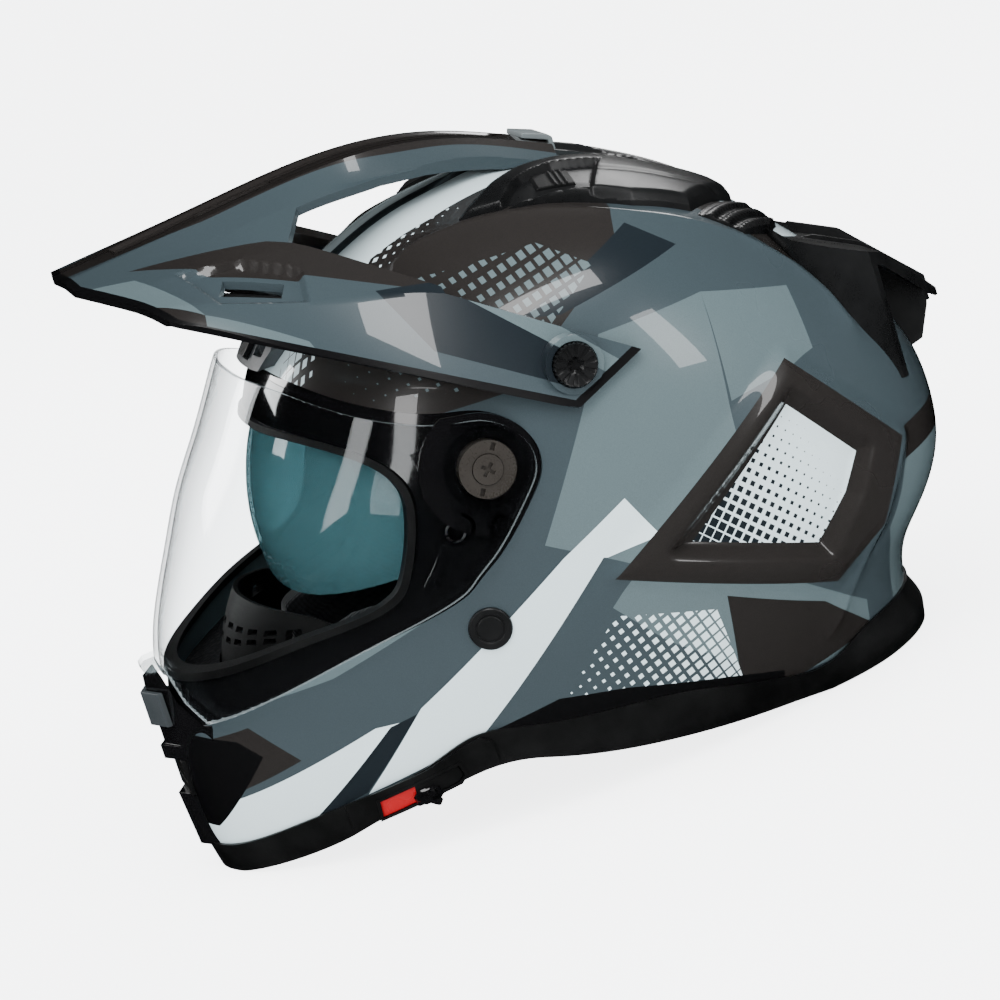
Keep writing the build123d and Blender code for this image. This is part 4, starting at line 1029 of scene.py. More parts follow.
# ---------------------------------------------------------------------------
# Face shield
# ---------------------------------------------------------------------------
shield_line = smooth_line(VISOR_REAR[2:], 1.5)
shield_line = [(-188.6, 97.5), (-186, 85)] + shield_line + [(-240, 214), (-240, 97.5)]
visor = visor_solid("visor_skin", 0.0)
cut(visor, visor_solid("inside", -2.2))
cut(visor, prism(shield_line), "INTERSECT")
for s in (1, -1):
    for r, x1 in ((15.4, 129.9), (18.6, 129.35)):
        cut(visor, rod((0, PIVOT_Y, PIVOT_Z), (s, 0, 0), r, 127.0, x1, 120), "UNION")
    for r0, r1 in ((15.9, 17.9),):
        ring = rod((0, PIVOT_Y, PIVOT_Z), (s, 0, 0), r1, 128.9, 132, 120)
        cut(ring, rod((0, PIVOT_Y, PIVOT_Z), (s, 0, 0), r0, 128, 133, 120))
        cut(visor, ring)
    cut(visor, rod((0, PIVOT_Y, PIVOT_Z), (s, 0, 0), 12.56, 100, 140, 96))
tab = prism([(-15, -185.5), (-13, -193.5), (-6, -196.5), (6, -196.5), (13, -193.5), (15, -185.5)],
            "z", 97.6, 100.2)
cut(visor, tab, "UNION")
bevel(visor, 0.5, 50, 2)
apply_all(visor)
smooth(visor, 40)
dress(visor, M_CLEAR, "visor_body", nodes=["visor"])
# the cut edge all round the sheet: a stronger mirror glint, and a pale diffuse colour that paints a
# highlight along it
visor.data.materials.append(M_EDGE_PAINTED_GLINT)
mid = np.empty(len(visor.data.polygons) * 3)
visor.data.polygons.foreach_get("center", mid)
mid = mid.reshape(-1, 3) * 1000
loop_ = shield_line + shield_line[:1]
near_, _ = to_lines(mid[:, 1:3], loop_)
gy = to_lines(mid[:, 1:3] + (0.2, 0.0), loop_)[0] - to_lines(mid[:, 1:3] - (0.2, 0.0), loop_)[0]
gz = to_lines(mid[:, 1:3] + (0.0, 0.2), loop_)[0] - to_lines(mid[:, 1:3] - (0.0, 0.2), loop_)[0]
face_n = np.empty(len(visor.data.polygons) * 3)
visor.data.polygons.foreach_get("normal", face_n)
face_n = face_n.reshape(-1, 3)
along_ = np.abs(face_n[:, 1] * gy + face_n[:, 2] * gz) / np.maximum(np.hypot(gy, gz), 1e-6)
flat_ = np.abs(face_n[:, 0]) < 0.78
painted_glint_faces = ((near_ < 0.8) & ((along_ > 0.6) | flat_ & (near_ < 0.15))).astype(np.int32)
visor.data.polygons.foreach_set("material_index", painted_glint_faces)

# ---------------------------------------------------------------------------
# Breath deflector: a thin rubber wall with louvres and a rolled upper edge
# ---------------------------------------------------------------------------
wall = hull_solid("breath_deflector_skin", -26.0, 320, 220)
cut(wall, hull_solid("inside", -28.4, 320, 220))
cut(wall, prism([(-200, 84), (-200, 121), (-150, 117), (-124, 108), (-112, 100), (-112, 84)]),
    "INTERSECT")
for k in range(5):
    for s in (1, -1):
        a = s * (7.0 + 11.0 * k)
        cut(wall, prism([(a - 3.6, 97 + 0.5 * k), (a + 3.6, 97 + 0.5 * k), (a + 3.0, 99.4 + 0.5 * k),
                         (a - 3.0, 99.4 + 0.5 * k)], "y", -190, -118))
        cut(wall, prism([(a - 3.6, 103 - 0.4 * k), (a + 3.6, 103 - 0.4 * k), (a + 3.0, 105.4 - 0.4 * k),
                         (a - 3.0, 105.4 - 0.4 * k)], "y", -190, -118))
bevel(wall, 0.4, 45, 2)
apply_all(wall)
smooth(wall, 38)
dress(wall, M_RUBBER, nodes=["breath_deflector"])

# ---------------------------------------------------------------------------
# Materials of the CAD pieces that keep their own shape
# ---------------------------------------------------------------------------
PLAIN = {
    "visor_hub_left": M_HUB, "visor_hub_right": M_HUB, "visor_pivot_screws": M_HUB,
    "sun_visor": M_TINT, "sun_visor_pins": M_STEEL, "peak": M_PEAK,
    "peak_clip": M_CLIP, "crown_mount": M_SATIN, "peak_knob_left": M_SATIN,
    "peak_knob_right": M_SATIN, "peak_inserts": M_STEEL, "top_vent_left": M_SATIN,
    "top_vent_right": M_SATIN, "top_vent_slider_left": M_SATIN,
    "top_vent_slider_right": M_SATIN, "top_vent_grille_left": M_SATIN,
    "top_vent_grille_right": M_SATIN, "brow_vent": M_GREY, "brow_vent_slider": M_SATIN,
    "rear_spoiler": M_SATIN, "chin_vent_housing": M_GLOSS, "chin_vent_slider": M_GREY,
    "chin_vent_grille": M_MATT, "trim_cover_left": M_MATT, "trim_cover_right": M_MATT,
    "sun_slider_track": M_RED, "sun_visor_slider": M_SATIN, "side_plug_left": M_SATIN,
    "side_plug_right": M_SATIN, "eps_liner": M_FOAM, "chin_eps": M_FOAM,
    "cheek_pad_left": M_FABRIC, "cheek_pad_right": M_FABRIC, "crown_liner": M_FABRIC,
    "neck_roll": M_LEATHER, "breath_deflector": M_RUBBER, "chin_strap_left": M_WEB,
    "chin_strap_right": M_WEB, "strap_anchors": M_STEEL, "strap_pad": M_FABRIC,
    "ratchet_strip": M_SATIN, "buckle_body": M_STEEL, "buckle_lever": M_STEEL,
}
for node, mat in PLAIN.items():
    o = NODES[node]
    o.data.materials.clear()
    o.data.materials.append(mat)


# ---------------------------------------------------------------------------
# Peak: creased panels, smooth along their length
# ---------------------------------------------------------------------------
PEAK_ROWS = [
    (-184, [(0, 275.4), (20, 274.6), (37, 272.0), (60, 267.5), (84, 262.5), (106, 258.5)]),
    (-147, [(0, 278.5), (20, 278.0), (38, 274.0), (62, 269.0), (90, 262.5), (107, 257.5)]),
    (-110, [(0, 282.5), (20, 281.5), (40, 275.0), (64, 267.0), (95, 252.0), (115, 236.5)]),
    (-75, [(0, 286.0), (21, 285.0), (38, 277.0), (66, 262.0), (98, 242.0), (120, 215.5)]),
    (-34, [(0, 287.5), (21, 286.0), (26, 275.0), (74, 250.0), (103, 231.0), (126.5, 191.0)]),
    (4, [(0, 281.0), (21, 279.5), (25, 268.0), (82, 240.0), (117, 212.0), (130.8, 171.0)]),
    (50, [(0, 262.2), (20, 260.8), (24, 252.5), (88, 225.0), (121, 198.0), (131.5, 168.0)]),
]
PEAK_FRONT = [(0, -178), (35, -174.5), (80, -156), (105, -147.5), (112, -139), (140, -110),
              (140, 47), (-140, 47), (-140, -110), (-112, -139), (-105, -147.5), (-80, -156),
              (-35, -174.5)]
WINDOW = [(40, -73), (60, -84), (99, -34), (101, 90), (24, 90), (24.2, -12), (27, -33)]


SLOT_PLAN = [(70.5, -117), (81.5, -122), (88, -98), (80, -94)]


def peak_relief(x, y):
    """Small sunk facets on the peak's upper face."""
    p = np.stack([np.abs(x), y], 1)
    out = np.zeros(len(p))
    # spine: a shallow channel with a slot in it
    out -= 1.6 * ease(signed(p, [(-9, -150), (9, -150), (13, -60), (13, 30), (-13, 30),
                                 (-13, -60)]), -1.0, 3.0)
    # pocket round the wing's air slot
    out -= 3.0 * ease(signed(p, [(60, -134), (92, -124), (96, -88), (77, -84), (65, -106)]),
                      -0.3, 2.6)
    return out


def peak_mesh():
    ys = np.linspace(-184, 50, 250)
    y0 = np.array([r[0] for r in PEAK_ROWS], float)
    cols = np.array([[c for pt in line for c in pt] for _, line in PEAK_ROWS], float)
    c = natural(y0, cols, ys).reshape(len(ys), 6, 2)
    sub = 15
    xs, zs = [], []
    for k in range(5):
        for i in range(sub):
            f = i / sub
            xs.append(c[:, k, 0] * (1 - f) + c[:, k + 1, 0] * f)
            zs.append(c[:, k, 1] * (1 - f) + c[:, k + 1, 1] * f)
    xs.append(c[:, 5, 0])
    zs.append(c[:, 5, 1])
    x = np.stack(xs, 1)
    z = np.stack(zs, 1)
    x = np.concatenate([-x[:, :0:-1], x], 1)
    z = np.concatenate([z[:, :0:-1], z], 1)
    y = np.repeat(ys[:, None], x.shape[1], 1)
    top = np.stack([x, y, z], 2)
    du = np.gradient(top, axis=1)
    dv = np.gradient(top, axis=0)
    n = np.cross(du, dv)
    n /= np.linalg.norm(n, axis=2, keepdims=True)
    if n[:, :, 2].mean() < 0:
        n = -n
    lift = peak_relief(x.ravel(), y.ravel()).reshape(x.shape)
    top_r = top + n * lift[:, :, None]
    low = top - n * 3.2 + n * np.minimum(lift, 0)[:, :, None]
    nr, nc = x.shape
    v = np.concatenate([top_r.reshape(-1, 3), low.reshape(-1, 3)])
    f = grid_faces(nr, nc, wrap=False) + grid_faces(nr, nc, wrap=False, flip=True, base=nr * nc)
    b = nr * nc
    for i in range(nr - 1):
        for j in (0, nc - 1):
            q = [i * nc + j, (i + 1) * nc + j, b + (i + 1) * nc + j, b + i * nc + j]
            f.append(q)
    for j in range(nc - 1):
        for i in (0, nr - 1):
            f.append([i * nc + j, i * nc + j + 1, b + i * nc + j + 1, b + i * nc + j])
    o = mesh_object("peak_skin", v, f)
    outwards(o)
    return o


def coords_of(o):
    v = np.empty(len(o.data.vertices) * 3)
    o.data.vertices.foreach_get("co", v)
    return v.reshape(-1, 3) * 1000


peak = peak_mesh()
front_line = smooth_line([(35, -174.5), (80, -156), (105, -147.5), (112, -139), (140, -110)], 2.0,
                         corners=(1, 2, 3))
half = [(0, -178)] + front_line + [(140, 47)]
outline = half + [(-a, b) for a, b in half[::-1] if a > 0]
cut(peak, prism(outline, "z", -20, 320), "INTERSECT")
for s in (1, -1):
    w = [(s * a, b) for a, b in WINDOW]
    cut(peak, prism(w, "z", -20, 320))
    cut(peak, prism([(s * a, b) for a, b in SLOT_PLAN],
                    "z", -20, 320))
for lo, hi in ((60, 160), (-160, -60)):
    cut(peak, prism([(-34, 231), (34, 185.5), (34, 100), (120, 100), (120, 330), (-34, 330)],
                    "x", lo, hi))
cut(peak, prism([(-260, 250), (-147.5, 256.5), (0, 171.5), (34, 185.5), (34, 100), (-260, 100)]))
for s in (1, -1):
    cut(peak, rod((0, KNOB_Y, KNOB_Z), (s, 0, 0), 12.6, 121.0, 129.2, 96), "UNION")
cut(peak, hull_solid("inside", 0.8, 240, 170))
grid = coords_of(peak)
for s in (1, -1):
    # black sheet just under the wing's air slot, so that the slot shows dark: a dark sheet standing in
    # for the shade seen through the slot
    c = np.array(SLOT_PLAN, float).mean(0)
    v = []
    for a, b in SLOT_PLAN:
        q = c + (np.array((a, b)) - c) * 1.22
        ring = np.linalg.norm(grid[:, :2] - (s * q[0], q[1]), axis=1) < 4.5
        v.append((s * q[0], q[1], float(grid[ring, 2].min()) - 0.5))
    v += [(a, b, h - 1.2) for a, b, h in v]
    slot_shade_sheet = mesh_object("peak_slot_shade_%d" % s, v, [[0, 1, 2, 3], [7, 6, 5, 4], [0, 4, 5, 1],
                                                  [1, 5, 6, 2], [2, 6, 7, 3], [3, 7, 4, 0]])
    outwards(slot_shade_sheet)
    dress(slot_shade_sheet, M_MATT, "peak_body", name="peak_slot_shade_sheet_" + ("left" if s > 0 else "right"))
for s in (1, -1):
    cut(peak, rod((0, KNOB_Y, KNOB_Z), (s, 0, 0), 10.0, 127.2, 140, 96))
    cut(peak, rod((0, KNOB_Y, KNOB_Z), (s, 0, 0), 3.1, 110, 140, 48))
# air slot in the spine
cut(peak, prism([(-3.2, -111), (3.2, -111), (3.2, -74), (-3.2, -74)], "z", 240, 320))
bevel(peak, 0.7, 38, 2)
apply_all(peak)
smooth(peak, 24)
dress(peak, M_PEAK, "peak_body", nodes=["peak"])


# ---------------------------------------------------------------------------
# Crown vents, their switches and grilles, and the brow vent
# ---------------------------------------------------------------------------
def crown_grid(x, y):
    """Height of the shell over a grid of plan points."""
    lo, hi = np.full(x.shape, 120.0), np.full(x.shape, 261.35)
    ax = np.abs(x)
    for _ in range(36):
        mid = (lo + hi) / 2
        up = half_width(y, mid) > ax
        lo, hi = np.where(up, mid, lo), np.where(up, hi, mid)
    return lo


def roof_patch(name, poly, height, pitch=0.8, floor=0.05):
    """A closed piece that lies on the crown inside a plan outline; height(x, y)
    gives how far its upper face stands off the shell."""
    p = np.array(poly, float)
    x0, y0 = p.min(0) - 3
    x1, y1 = p.max(0) + 3
    nx, ny = int((x1 - x0) / pitch) + 2, int((y1 - y0) / pitch) + 2
    x, y = np.meshgrid(np.linspace(x0, x1, nx), np.linspace(y0, y1, ny), indexing="ij")
    z = crown_grid(x, y)
    dx, dy = np.gradient(z, (x1 - x0) / (nx - 1), (y1 - y0) / (ny - 1))
    n = np.stack([-dx, -dy, np.ones_like(z)], 2)
    n /= np.linalg.norm(n, axis=2, keepdims=True)
    base = np.stack([x, y, z], 2)
    h = height(x.ravel(), y.ravel()).reshape(x.shape)
    top = base + n * np.maximum(h, floor + 0.05)[:, :, None]
    low = base + n * floor
    v = np.concatenate([top.reshape(-1, 3), low.reshape(-1, 3)])
    f = grid_faces(nx, ny, wrap=False) + grid_faces(nx, ny, wrap=False, flip=True, base=nx * ny)
    b = nx * ny
    for i in range(nx - 1):
        for j in (0, ny - 1):
            f.append([i * ny + j, (i + 1) * ny + j, b + (i + 1) * ny + j, b + i * ny + j])
    for j in range(ny - 1):
        for i in (0, nx - 1):
            f.append([i * ny + j, i * ny + j + 1, b + i * ny + j + 1, b + i * ny + j])
    o = mesh_object(name, v, f)
    outwards(o)
    cut(o, prism(poly, "z", 120, 300), "INTERSECT")
    return o


TOP_VENT = [(62, -11), (46, 8), (38, 22), (29, 52), (28, 80), (19, 108), (32, 114.5),
            (71, 85.5), (76, 60), (74, 40), (70, 14)]
TOP_GRILLE = [(73, 87.5), (34.6, 116), (38, 129), (56, 121), (74, 105)]
HOOD = [(72.6, 43), (46, 56), (34, 62), (27, 90), (16, 112), (33, 118), (76, 86), (80, 62)]
FLOOR_ = [(67.5, 6), (52.5, 20), (45, 36), (40, 58), (69.5, 46), (69.0, 24)]


def vent_height(s):
    def height(x, y):
        p = np.stack([x * s, y], 1)
        edge = signed(p, TOP_VENT)
        hood = signed(p, HOOD)
        sunk = signed(p, FLOOR_)
        base = 2.6 + 2.4 * ease(edge, 0.0, 3.0) + 0.8 * ramp(edge, 3.0, 14.0)
        # the wedge facet that rises towards the sunk floor
        base += 1.6 * ramp(p[:, 1], -8, 40) * ease(edge, 1.0, 4.0)
        # sunk floor in front of the hood
        base -= 4.2 * ease(sunk, -0.6, 1.6)
        # hood: full height at its front edge, falling to the rear, with a soft back
        back = ramp(p[:, 1], 46, 112)
        tall = 7.0 - 1.6 * back
        lift = np.clip((tall - 2.2) * ease(edge, 0.0, 5.5) + 2.2, 0, 7.0)
        on = ease(hood, -0.4, 0.9)
        out = base * (1 - on) + lift * on
        # a shallow crease along the middle of the hood
        d, _ = to_lines(p, [(52, 50), (50, 84), (40, 112)])
        out -= 0.7 * on * np.exp(-(d / 2.2) ** 2)
        return np.minimum(out, 7.0)
    return height


def grille_height(s):
    def height(x, y):
        p = np.stack([x * s, y], 1)
        edge = signed(p, TOP_GRILLE)
        out = 1.4 + 1.6 * ease(edge, 0.0, 1.6)
        for a, b in (((73, 93), (36, 120)), ((73.5, 98.5), (39, 124.5))):
            d, t = to_lines(p, [a, b])
            out -= 1.5 * ease(d, 1.5, 0.8) * ease(edge, 0.8, 2.0)
        return out
    return height


for s, word in ((1, "left"), (-1, "right")):
    vent = roof_patch("top_vent_%s_skin" % word, [(s * a, b) for a, b in TOP_VENT], vent_height(s))
    bevel(vent, 0.45, 45, 2)
    apply_all(vent)
    smooth(vent, 32)
    dress(vent, M_SATIN, nodes=["top_vent_" + word])
    grille = roof_patch("top_vent_grille_%s_skin" % word, [(s * a, b) for a, b in TOP_GRILLE],
                        grille_height(s), 0.7)
    bevel(grille, 0.4, 45, 2)
    apply_all(grille)
    smooth(grille, 32)
    dress(grille, M_SATIN, nodes=["top_vent_grille_" + word])
    # thumb switch in the sunk floor: a low ramp with three grip ribs
    q, n, along = roof(s * 56, 34, 2.4)
    across_ = along.cross(n).normalized()

    def place(u, v, w):
        return tuple(q + along * u + across_ * v + n * w)

    sections = [(-9.5, 6.6, 0.2), (-8.5, 7.0, 1.1), (-3.0, 7.0, 1.5)]
    for k in range(3):
        c = -1.0 + 2.6 * k
        sections += [(c - 0.7, 7.0, 1.6), (c - 0.4, 7.0, 2.5), (c + 0.4, 7.0, 2.5), (c + 0.7, 7.0, 1.6)]
    sections += [(7.5, 7.0, 1.7), (8.3, 6.6, 0.2)]
    v, f = [], []
    for u, w, h in sections:
        v += [place(u, -w, -0.6), place(u, -w, h - 0.35), place(u, -w + 0.5, h), place(u, w - 0.5, h),
              place(u, w, h - 0.35), place(u, w, -0.6)]
    for i in range(len(sections) - 1):
        for j in range(6):
            k = (j + 1) % 6
            f.append([i * 6 + j, i * 6 + k, (i + 1) * 6 + k, (i + 1) * 6 + j])
    f.append(list(range(6)))
    f.append([len(v) - 6 + j for j in range(6)][::-1])
    thumb = mesh_object("top_vent_slider_%s_skin" % word, v, f)
    outwards(thumb)
    bevel(thumb, 0.2, 30, 1)
    apply_all(thumb)
    smooth(thumb, 40)
    dress(thumb, M_MATT, "top_slider_%s_body" % word, nodes=["top_vent_slider_" + word])

# ---- brow vent: a grey bar with two inlets, thin vanes and a notch for the shutter ---
brow = hull_solid("brow_vent_skin", 6.2, 260, 260)
cut(brow, hull_solid("inside", 0.1, 260, 260))
cut(brow, prism([(-26, 211.5), (26, 211.5), (31, 219), (24, 228.5), (-24, 228.5), (-31, 219)],
                "y", -130, -60), "INTERSECT")
for x0, x1 in ((-23.5, -11.0), (11.0, 23.5)):
    cut(brow, prism([(x0, 216.4), (x1, 216.4), (x1, 222.4), (x0, 222.4)], "y", -130, -60))
    for k in range(1, 3):
        x = x0 + (x1 - x0) * k / 3
        cut(brow, prism([(x - 0.5, 215.5), (x + 0.5, 215.5), (x + 0.5, 223), (x - 0.5, 223)],
                        "y", -104, -92), "UNION")
cut(brow, prism([(-6.6, 213.8), (6.6, 213.8), (6.6, 230), (-6.6, 230)], "y", -130, -101.2))
bevel(brow, 0.5, 40, 2)
apply_all(brow)
smooth(brow, 35)
dress(brow, M_GREY, nodes=["brow_vent"])


# ---------------------------------------------------------------------------
# Helpers: a round wire through points, and mirrored outlines
# ---------------------------------------------------------------------------
def welt(name, points, radius, mat, body="helmet"):
    """A round wire through points."""
    pts = [Vector(p) for p in points]
    ring, v, f = 8, [], []
    for i, p in enumerate(pts):
        a, b = pts[max(i - 1, 0)], pts[min(i + 1, len(pts) - 1)]
        t = (b - a).normalized()
        u = t.orthogonal().normalized() if i == 0 else (u - t * u.dot(t)).normalized()
        w = t.cross(u)
        for k in range(ring):
            c = 2 * math.pi * k / ring
            v.append(tuple(p + u * (radius * math.cos(c)) + w * (radius * math.sin(c))))
    for i in range(len(pts) - 1):
        for k in range(ring):
            j = (k + 1) % ring
            f.append([i * ring + k, i * ring + j, (i + 1) * ring + j, (i + 1) * ring + k])
    f.append(list(range(ring))[::-1])
    f.append([len(v) - ring + k for k in range(ring)])
    o = mesh_object(name, v, f)
    outwards(o)
    smooth(o, 60)
    dress(o, mat, body)
    return o


def mirrored(pts):
    return [(-a, b) for a, b in pts[::-1]]


# ---- lower trim covers, the sun visor's track and its thumb switch ----------
COVER_SIDE = [(-139, 29.6), (-104.7, 37.2), (-88, 43.6), (-78.7, 46.2), (-74, 43), (-73, 31),
              (-91, 28.3), (-108, 23.8), (-126, 19.4), (-138, 15.4)]
SLOT_SIDE = [(-125, 27.8), (-90, 36.2), (-88.5, 31), (-91, 27.9), (-108, 23.4), (-125, 19)]
for s, word in ((1, "left"), (-1, "right")):
    lo, hi = sorted((s * 55.0, s * 135.0))
    cover = hull_solid("trim_cover_%s_skin" % word, 2.6, 320, 260)
    cut(cover, hull_solid("inside", 1.25, 320, 260))
    cut(cover, prism(smooth_line(COVER_SIDE + COVER_SIDE[:1], 1.2,
                                 corners=tuple(range(1, len(COVER_SIDE)))), "x", lo, hi), "INTERSECT")
    if s > 0:
        cut(cover, prism(SLOT_SIDE, "x", lo, hi))
        frame_ = hull_solid("slot_frame", 3.0, 320, 260)
        cut(frame_, hull_solid("inside", 2.2, 320, 260))
        big = [(-126.2, 29.0), (-88.9, 37.9), (-86.9, 30.8), (-90.2, 26.6), (-108, 22.0), (-126.2, 17.6)]
        cut(frame_, prism(big, "x", lo, hi), "INTERSECT")
        cut(frame_, prism(SLOT_SIDE, "x", lo, hi))
        cut(cover, frame_, "UNION")
    else:
        # blind rib in place of the slot
        rib = hull_solid("rib", 3.2, 320, 260)
        cut(rib, hull_solid("inside", 2.0, 320, 260))
        cut(rib, prism([(-122, 24.6), (-92, 32.0), (-91, 29.8), (-108, 25.4), (-122, 21.6)],
                       "x", lo, hi), "INTERSECT")
        cut(cover, rib, "UNION")
    bevel(cover, 0.35, 40, 2)
    apply_all(cover)
    smooth(cover, 35)
    dress(cover, M_MATT, nodes=["trim_cover_" + word])

# the track: black guide rails with the red floor showing only at its front
track = hull_solid("track_skin", 1.75, 320, 260)
cut(track, hull_solid("inside", 1.25, 320, 260))
cut(track, prism([(-124.6, 27.4), (-90.4, 35.6), (-89, 31), (-91.2, 28.3), (-108, 23.8),
                  (-124.6, 19.5)], "x", 40, 160), "INTERSECT")
rails = hull_solid("rails", 2.05, 320, 260)
cut(rails, hull_solid("inside", 1.3, 320, 260))
cut(rails, prism([(-109.5, 31.1), (-90.4, 35.6), (-89, 31), (-91.2, 28.3), (-108, 23.8),
                  (-109.5, 23.2)], "x", 40, 160), "INTERSECT")
smooth(track, 40)
track.data.materials.clear()
dress(track, M_RED, name="sun_slider_track_skin", nodes=["sun_slider_track"])
smooth(rails, 40)
dress(rails, M_MATT, name="sun_slider_rails")

# thumb switch: a small plate with a raised three-way grip
q, n = skin(-104, 26.5, 1)
ahead_ = Vector((0.422012, 0.884318, 0.199721))
ahead_ = (ahead_ - n * ahead_.dot(n)).normalized()
across_ = n.cross(ahead_).normalized()


def arm(a, b, half, lo, hi):
    """A rounded bar on the switch's plate from a to b (along, across)."""
    a2, b2 = Vector(a), Vector(b)
    d = (b2 - a2).normalized()
    e = Vector((-d.y, d.x))
    pts = [a2 + e * half, a2 - d * half * 0.7 + e * half * 0.5, a2 - d * half * 0.7 - e * half * 0.5,
           a2 - e * half, b2 - e * half, b2 + d * half * 0.7 - e * half * 0.5,
           b2 + d * half * 0.7 + e * half * 0.5, b2 + e * half]
    v = []
    for h, k in ((lo, 1.0), (hi, 0.82)):
        c = (a2 + b2) / 2
        for p in pts:
            r = c + (p - c) * k
            v.append(tuple(q + ahead_ * r.x + across_ * r.y + n * h))
    m = len(pts)
    f = [list(range(m))[::-1], list(range(m, 2 * m))]
    f += [[i, (i + 1) % m, m + (i + 1) % m, m + i] for i in range(m)]
    o = mesh_object("arm", v, f)
    outwards(o)
    return o


knob = arm((-3.4, 0), (3.4, 0), 4.3, 2.75, 3.6)
for a, b in (((0, 0), (4.4, 3.6)), ((0, 0), (3.4, -4.2)), ((0, 0), (-5.2, 0.4))):
    cut(knob, arm(a, b, 1.35, 3.4, 6.2), "UNION")
bevel(knob, 0.3, 35, 2)
apply_all(knob)
smooth(knob, 40)
dress(knob, M_GLOSS, "sun_slider_body", name="sun_visor_slider_skin", nodes=["sun_visor_slider"])

# ---- side plugs: a dished cap with a ring and two fine grooves ---------------
for s, word in ((1, "left"), (-1, "right")):
    c, n = skin(PLUG_Y, PLUG_Z, s)
    prof = [(0.0, 0.55), (4.6, 0.62), (5.2, 0.75), (5.5, 0.45), (6.1, 0.4), (6.4, 1.05), (8.2, 1.35),
            (8.8, 1.3), (9.2, 0.95), (9.3, 0.4), (9.3, -3.1), (0.0, -3.1)]
    u = n.orthogonal().normalized()
    w = n.cross(u)
    na, v, f = 72, [], []
    for r, h in prof[1:-1]:
        for k in range(na):
            a = 2 * math.pi * k / na
            v.append(tuple(c + u * (r * math.cos(a)) + w * (r * math.sin(a)) + n * h))
    m = len(prof) - 2
    v += [tuple(c + n * prof[0][1]), tuple(c + n * prof[-1][1])]
    for i in range(m - 1):
        for k in range(na):
            j = (k + 1) % na
            f.append([i * na + k, i * na + j, (i + 1) * na + j, (i + 1) * na + k])
    for k in range(na):
        j = (k + 1) % na
        f.append([len(v) - 2, j, k])
        f.append([len(v) - 1, (m - 1) * na + k, (m - 1) * na + j])
    plug = mesh_object("side_plug_%s_skin" % word, v, f)
    outwards(plug)
    bevel(plug, 0.15, 50, 2)
    apply_all(plug)
    smooth(plug, 32)
    dress(plug, M_SATIN, nodes=["side_plug_" + word])

# ---- peak knobs: a dished cap with radial ribs and a five-lobed socket -------
for s, word in ((1, "left"), (-1, "right")):
    na, v, f = 240, [], []
    prof = [(2.2, 128.4), (2.9, 129.6), (3.6, 130.6), (4.6, 131.0), (8.0, 131.6), (8.9, 131.9),
            (9.35, 131.2), (9.5, 130.4), (9.5, 127.55)]
    for i, (r, x) in enumerate(prof):
        for k in range(na):
            a = 2 * math.pi * k / na
            rr, xx = r, x
            if i >= 6:
                rr -= 0.45 * ease(np.array(math.cos(a * 30)), -0.1, 0.7).item()
            if i in (3, 4):
                xx -= 0.55 * ease(np.array(math.cos(a * 10)), 0.0, 0.6).item()
            if i <= 1:
                rr += 0.75 * math.cos(a * 5)
            v.append((s * xx, KNOB_Y + rr * math.cos(a), KNOB_Z + rr * math.sin(a)))
    m = len(prof)
    v += [(s * 128.4, KNOB_Y, KNOB_Z), (s * 127.55, KNOB_Y, KNOB_Z)]
    for i in range(m - 1):
        for k in range(na):
            j = (k + 1) % na
            f.append([i * na + k, i * na + j, (i + 1) * na + j, (i + 1) * na + k])
    for k in range(na):
        j = (k + 1) % na
        f.append([len(v) - 2, j, k])
        f.append([len(v) - 1, (m - 1) * na + k, (m - 1) * na + j])
    knob = mesh_object("peak_knob_%s_skin" % word, v, f)
    outwards(knob)
    smooth(knob, 35)
    dress(knob, M_SATIN, "peak_knob_%s_body" % word, nodes=["peak_knob_" + word])

# ---- visor hubs: brown-grey disc, two key slots, a recessed face and a centre hole ---
for s, word in ((1, "left"), (-1, "right")):
    hub = rod((0, PIVOT_Y, PIVOT_Z), (s, 0, 0), 12.4, 122.7, 128.7, 128)
    cut(hub, rod((0, PIVOT_Y, PIVOT_Z), (s, 0, 0), 6.75, 127.3, 140, 96))
    cut(hub, rod((0, PIVOT_Y, PIVOT_Z), (s, 0, 0), 3.1, 110, 140, 48))
    for a in (60, 240):
        ca, sa = math.cos(math.radians(a)), math.sin(math.radians(a))

        def at(u, w):
            return (PIVOT_Y + u * ca - w * sa, PIVOT_Z + u * sa + w * ca)

        cut(hub, prism([at(8.2, -1.0), at(11.4, -1.0), at(11.4, 1.0), at(8.2, 1.0)], "x",
                       *sorted((s * 127.4, s * 140))))
    bevel(hub, 0.45, 45, 3)
    apply_all(hub)
    smooth(hub, 35)
    dress(hub, M_HUB, name="visor_hub_%s_skin" % word, nodes=["visor_hub_" + word])
    # chrome wire spring on the plate
    c = Vector((s * 121.4, -63.0, 137.0))
    p, n = skin(-63.0, 137.0, s)
    u = n.orthogonal().normalized()
    w = n.cross(u)
    ring = [p + n * 1.0 + u * (4.0 * math.cos(a)) + w * (4.0 * math.sin(a))
            for a in np.radians(np.arange(40, 321, 14))]
    welt("visor_spring_" + word, ring, 0.55, M_STEEL)


# ---------------------------------------------------------------------------
# Lining: padded pieces swollen with cloth pressure, then sewn, and webbing
# ---------------------------------------------------------------------------
def coords(o):
    v = np.empty(len(o.data.vertices) * 3)
    o.data.vertices.foreach_get("co", v)
    return v.reshape(-1, 3) * 1000


def set_coords(o, v):
    o.data.vertices.foreach_set("co", (v / 1000).ravel())
    o.data.update()


def normals(o):
    n = np.empty(len(o.data.vertices) * 3)
    o.data.vertices.foreach_get("normal", n)
    return n.reshape(-1, 3)


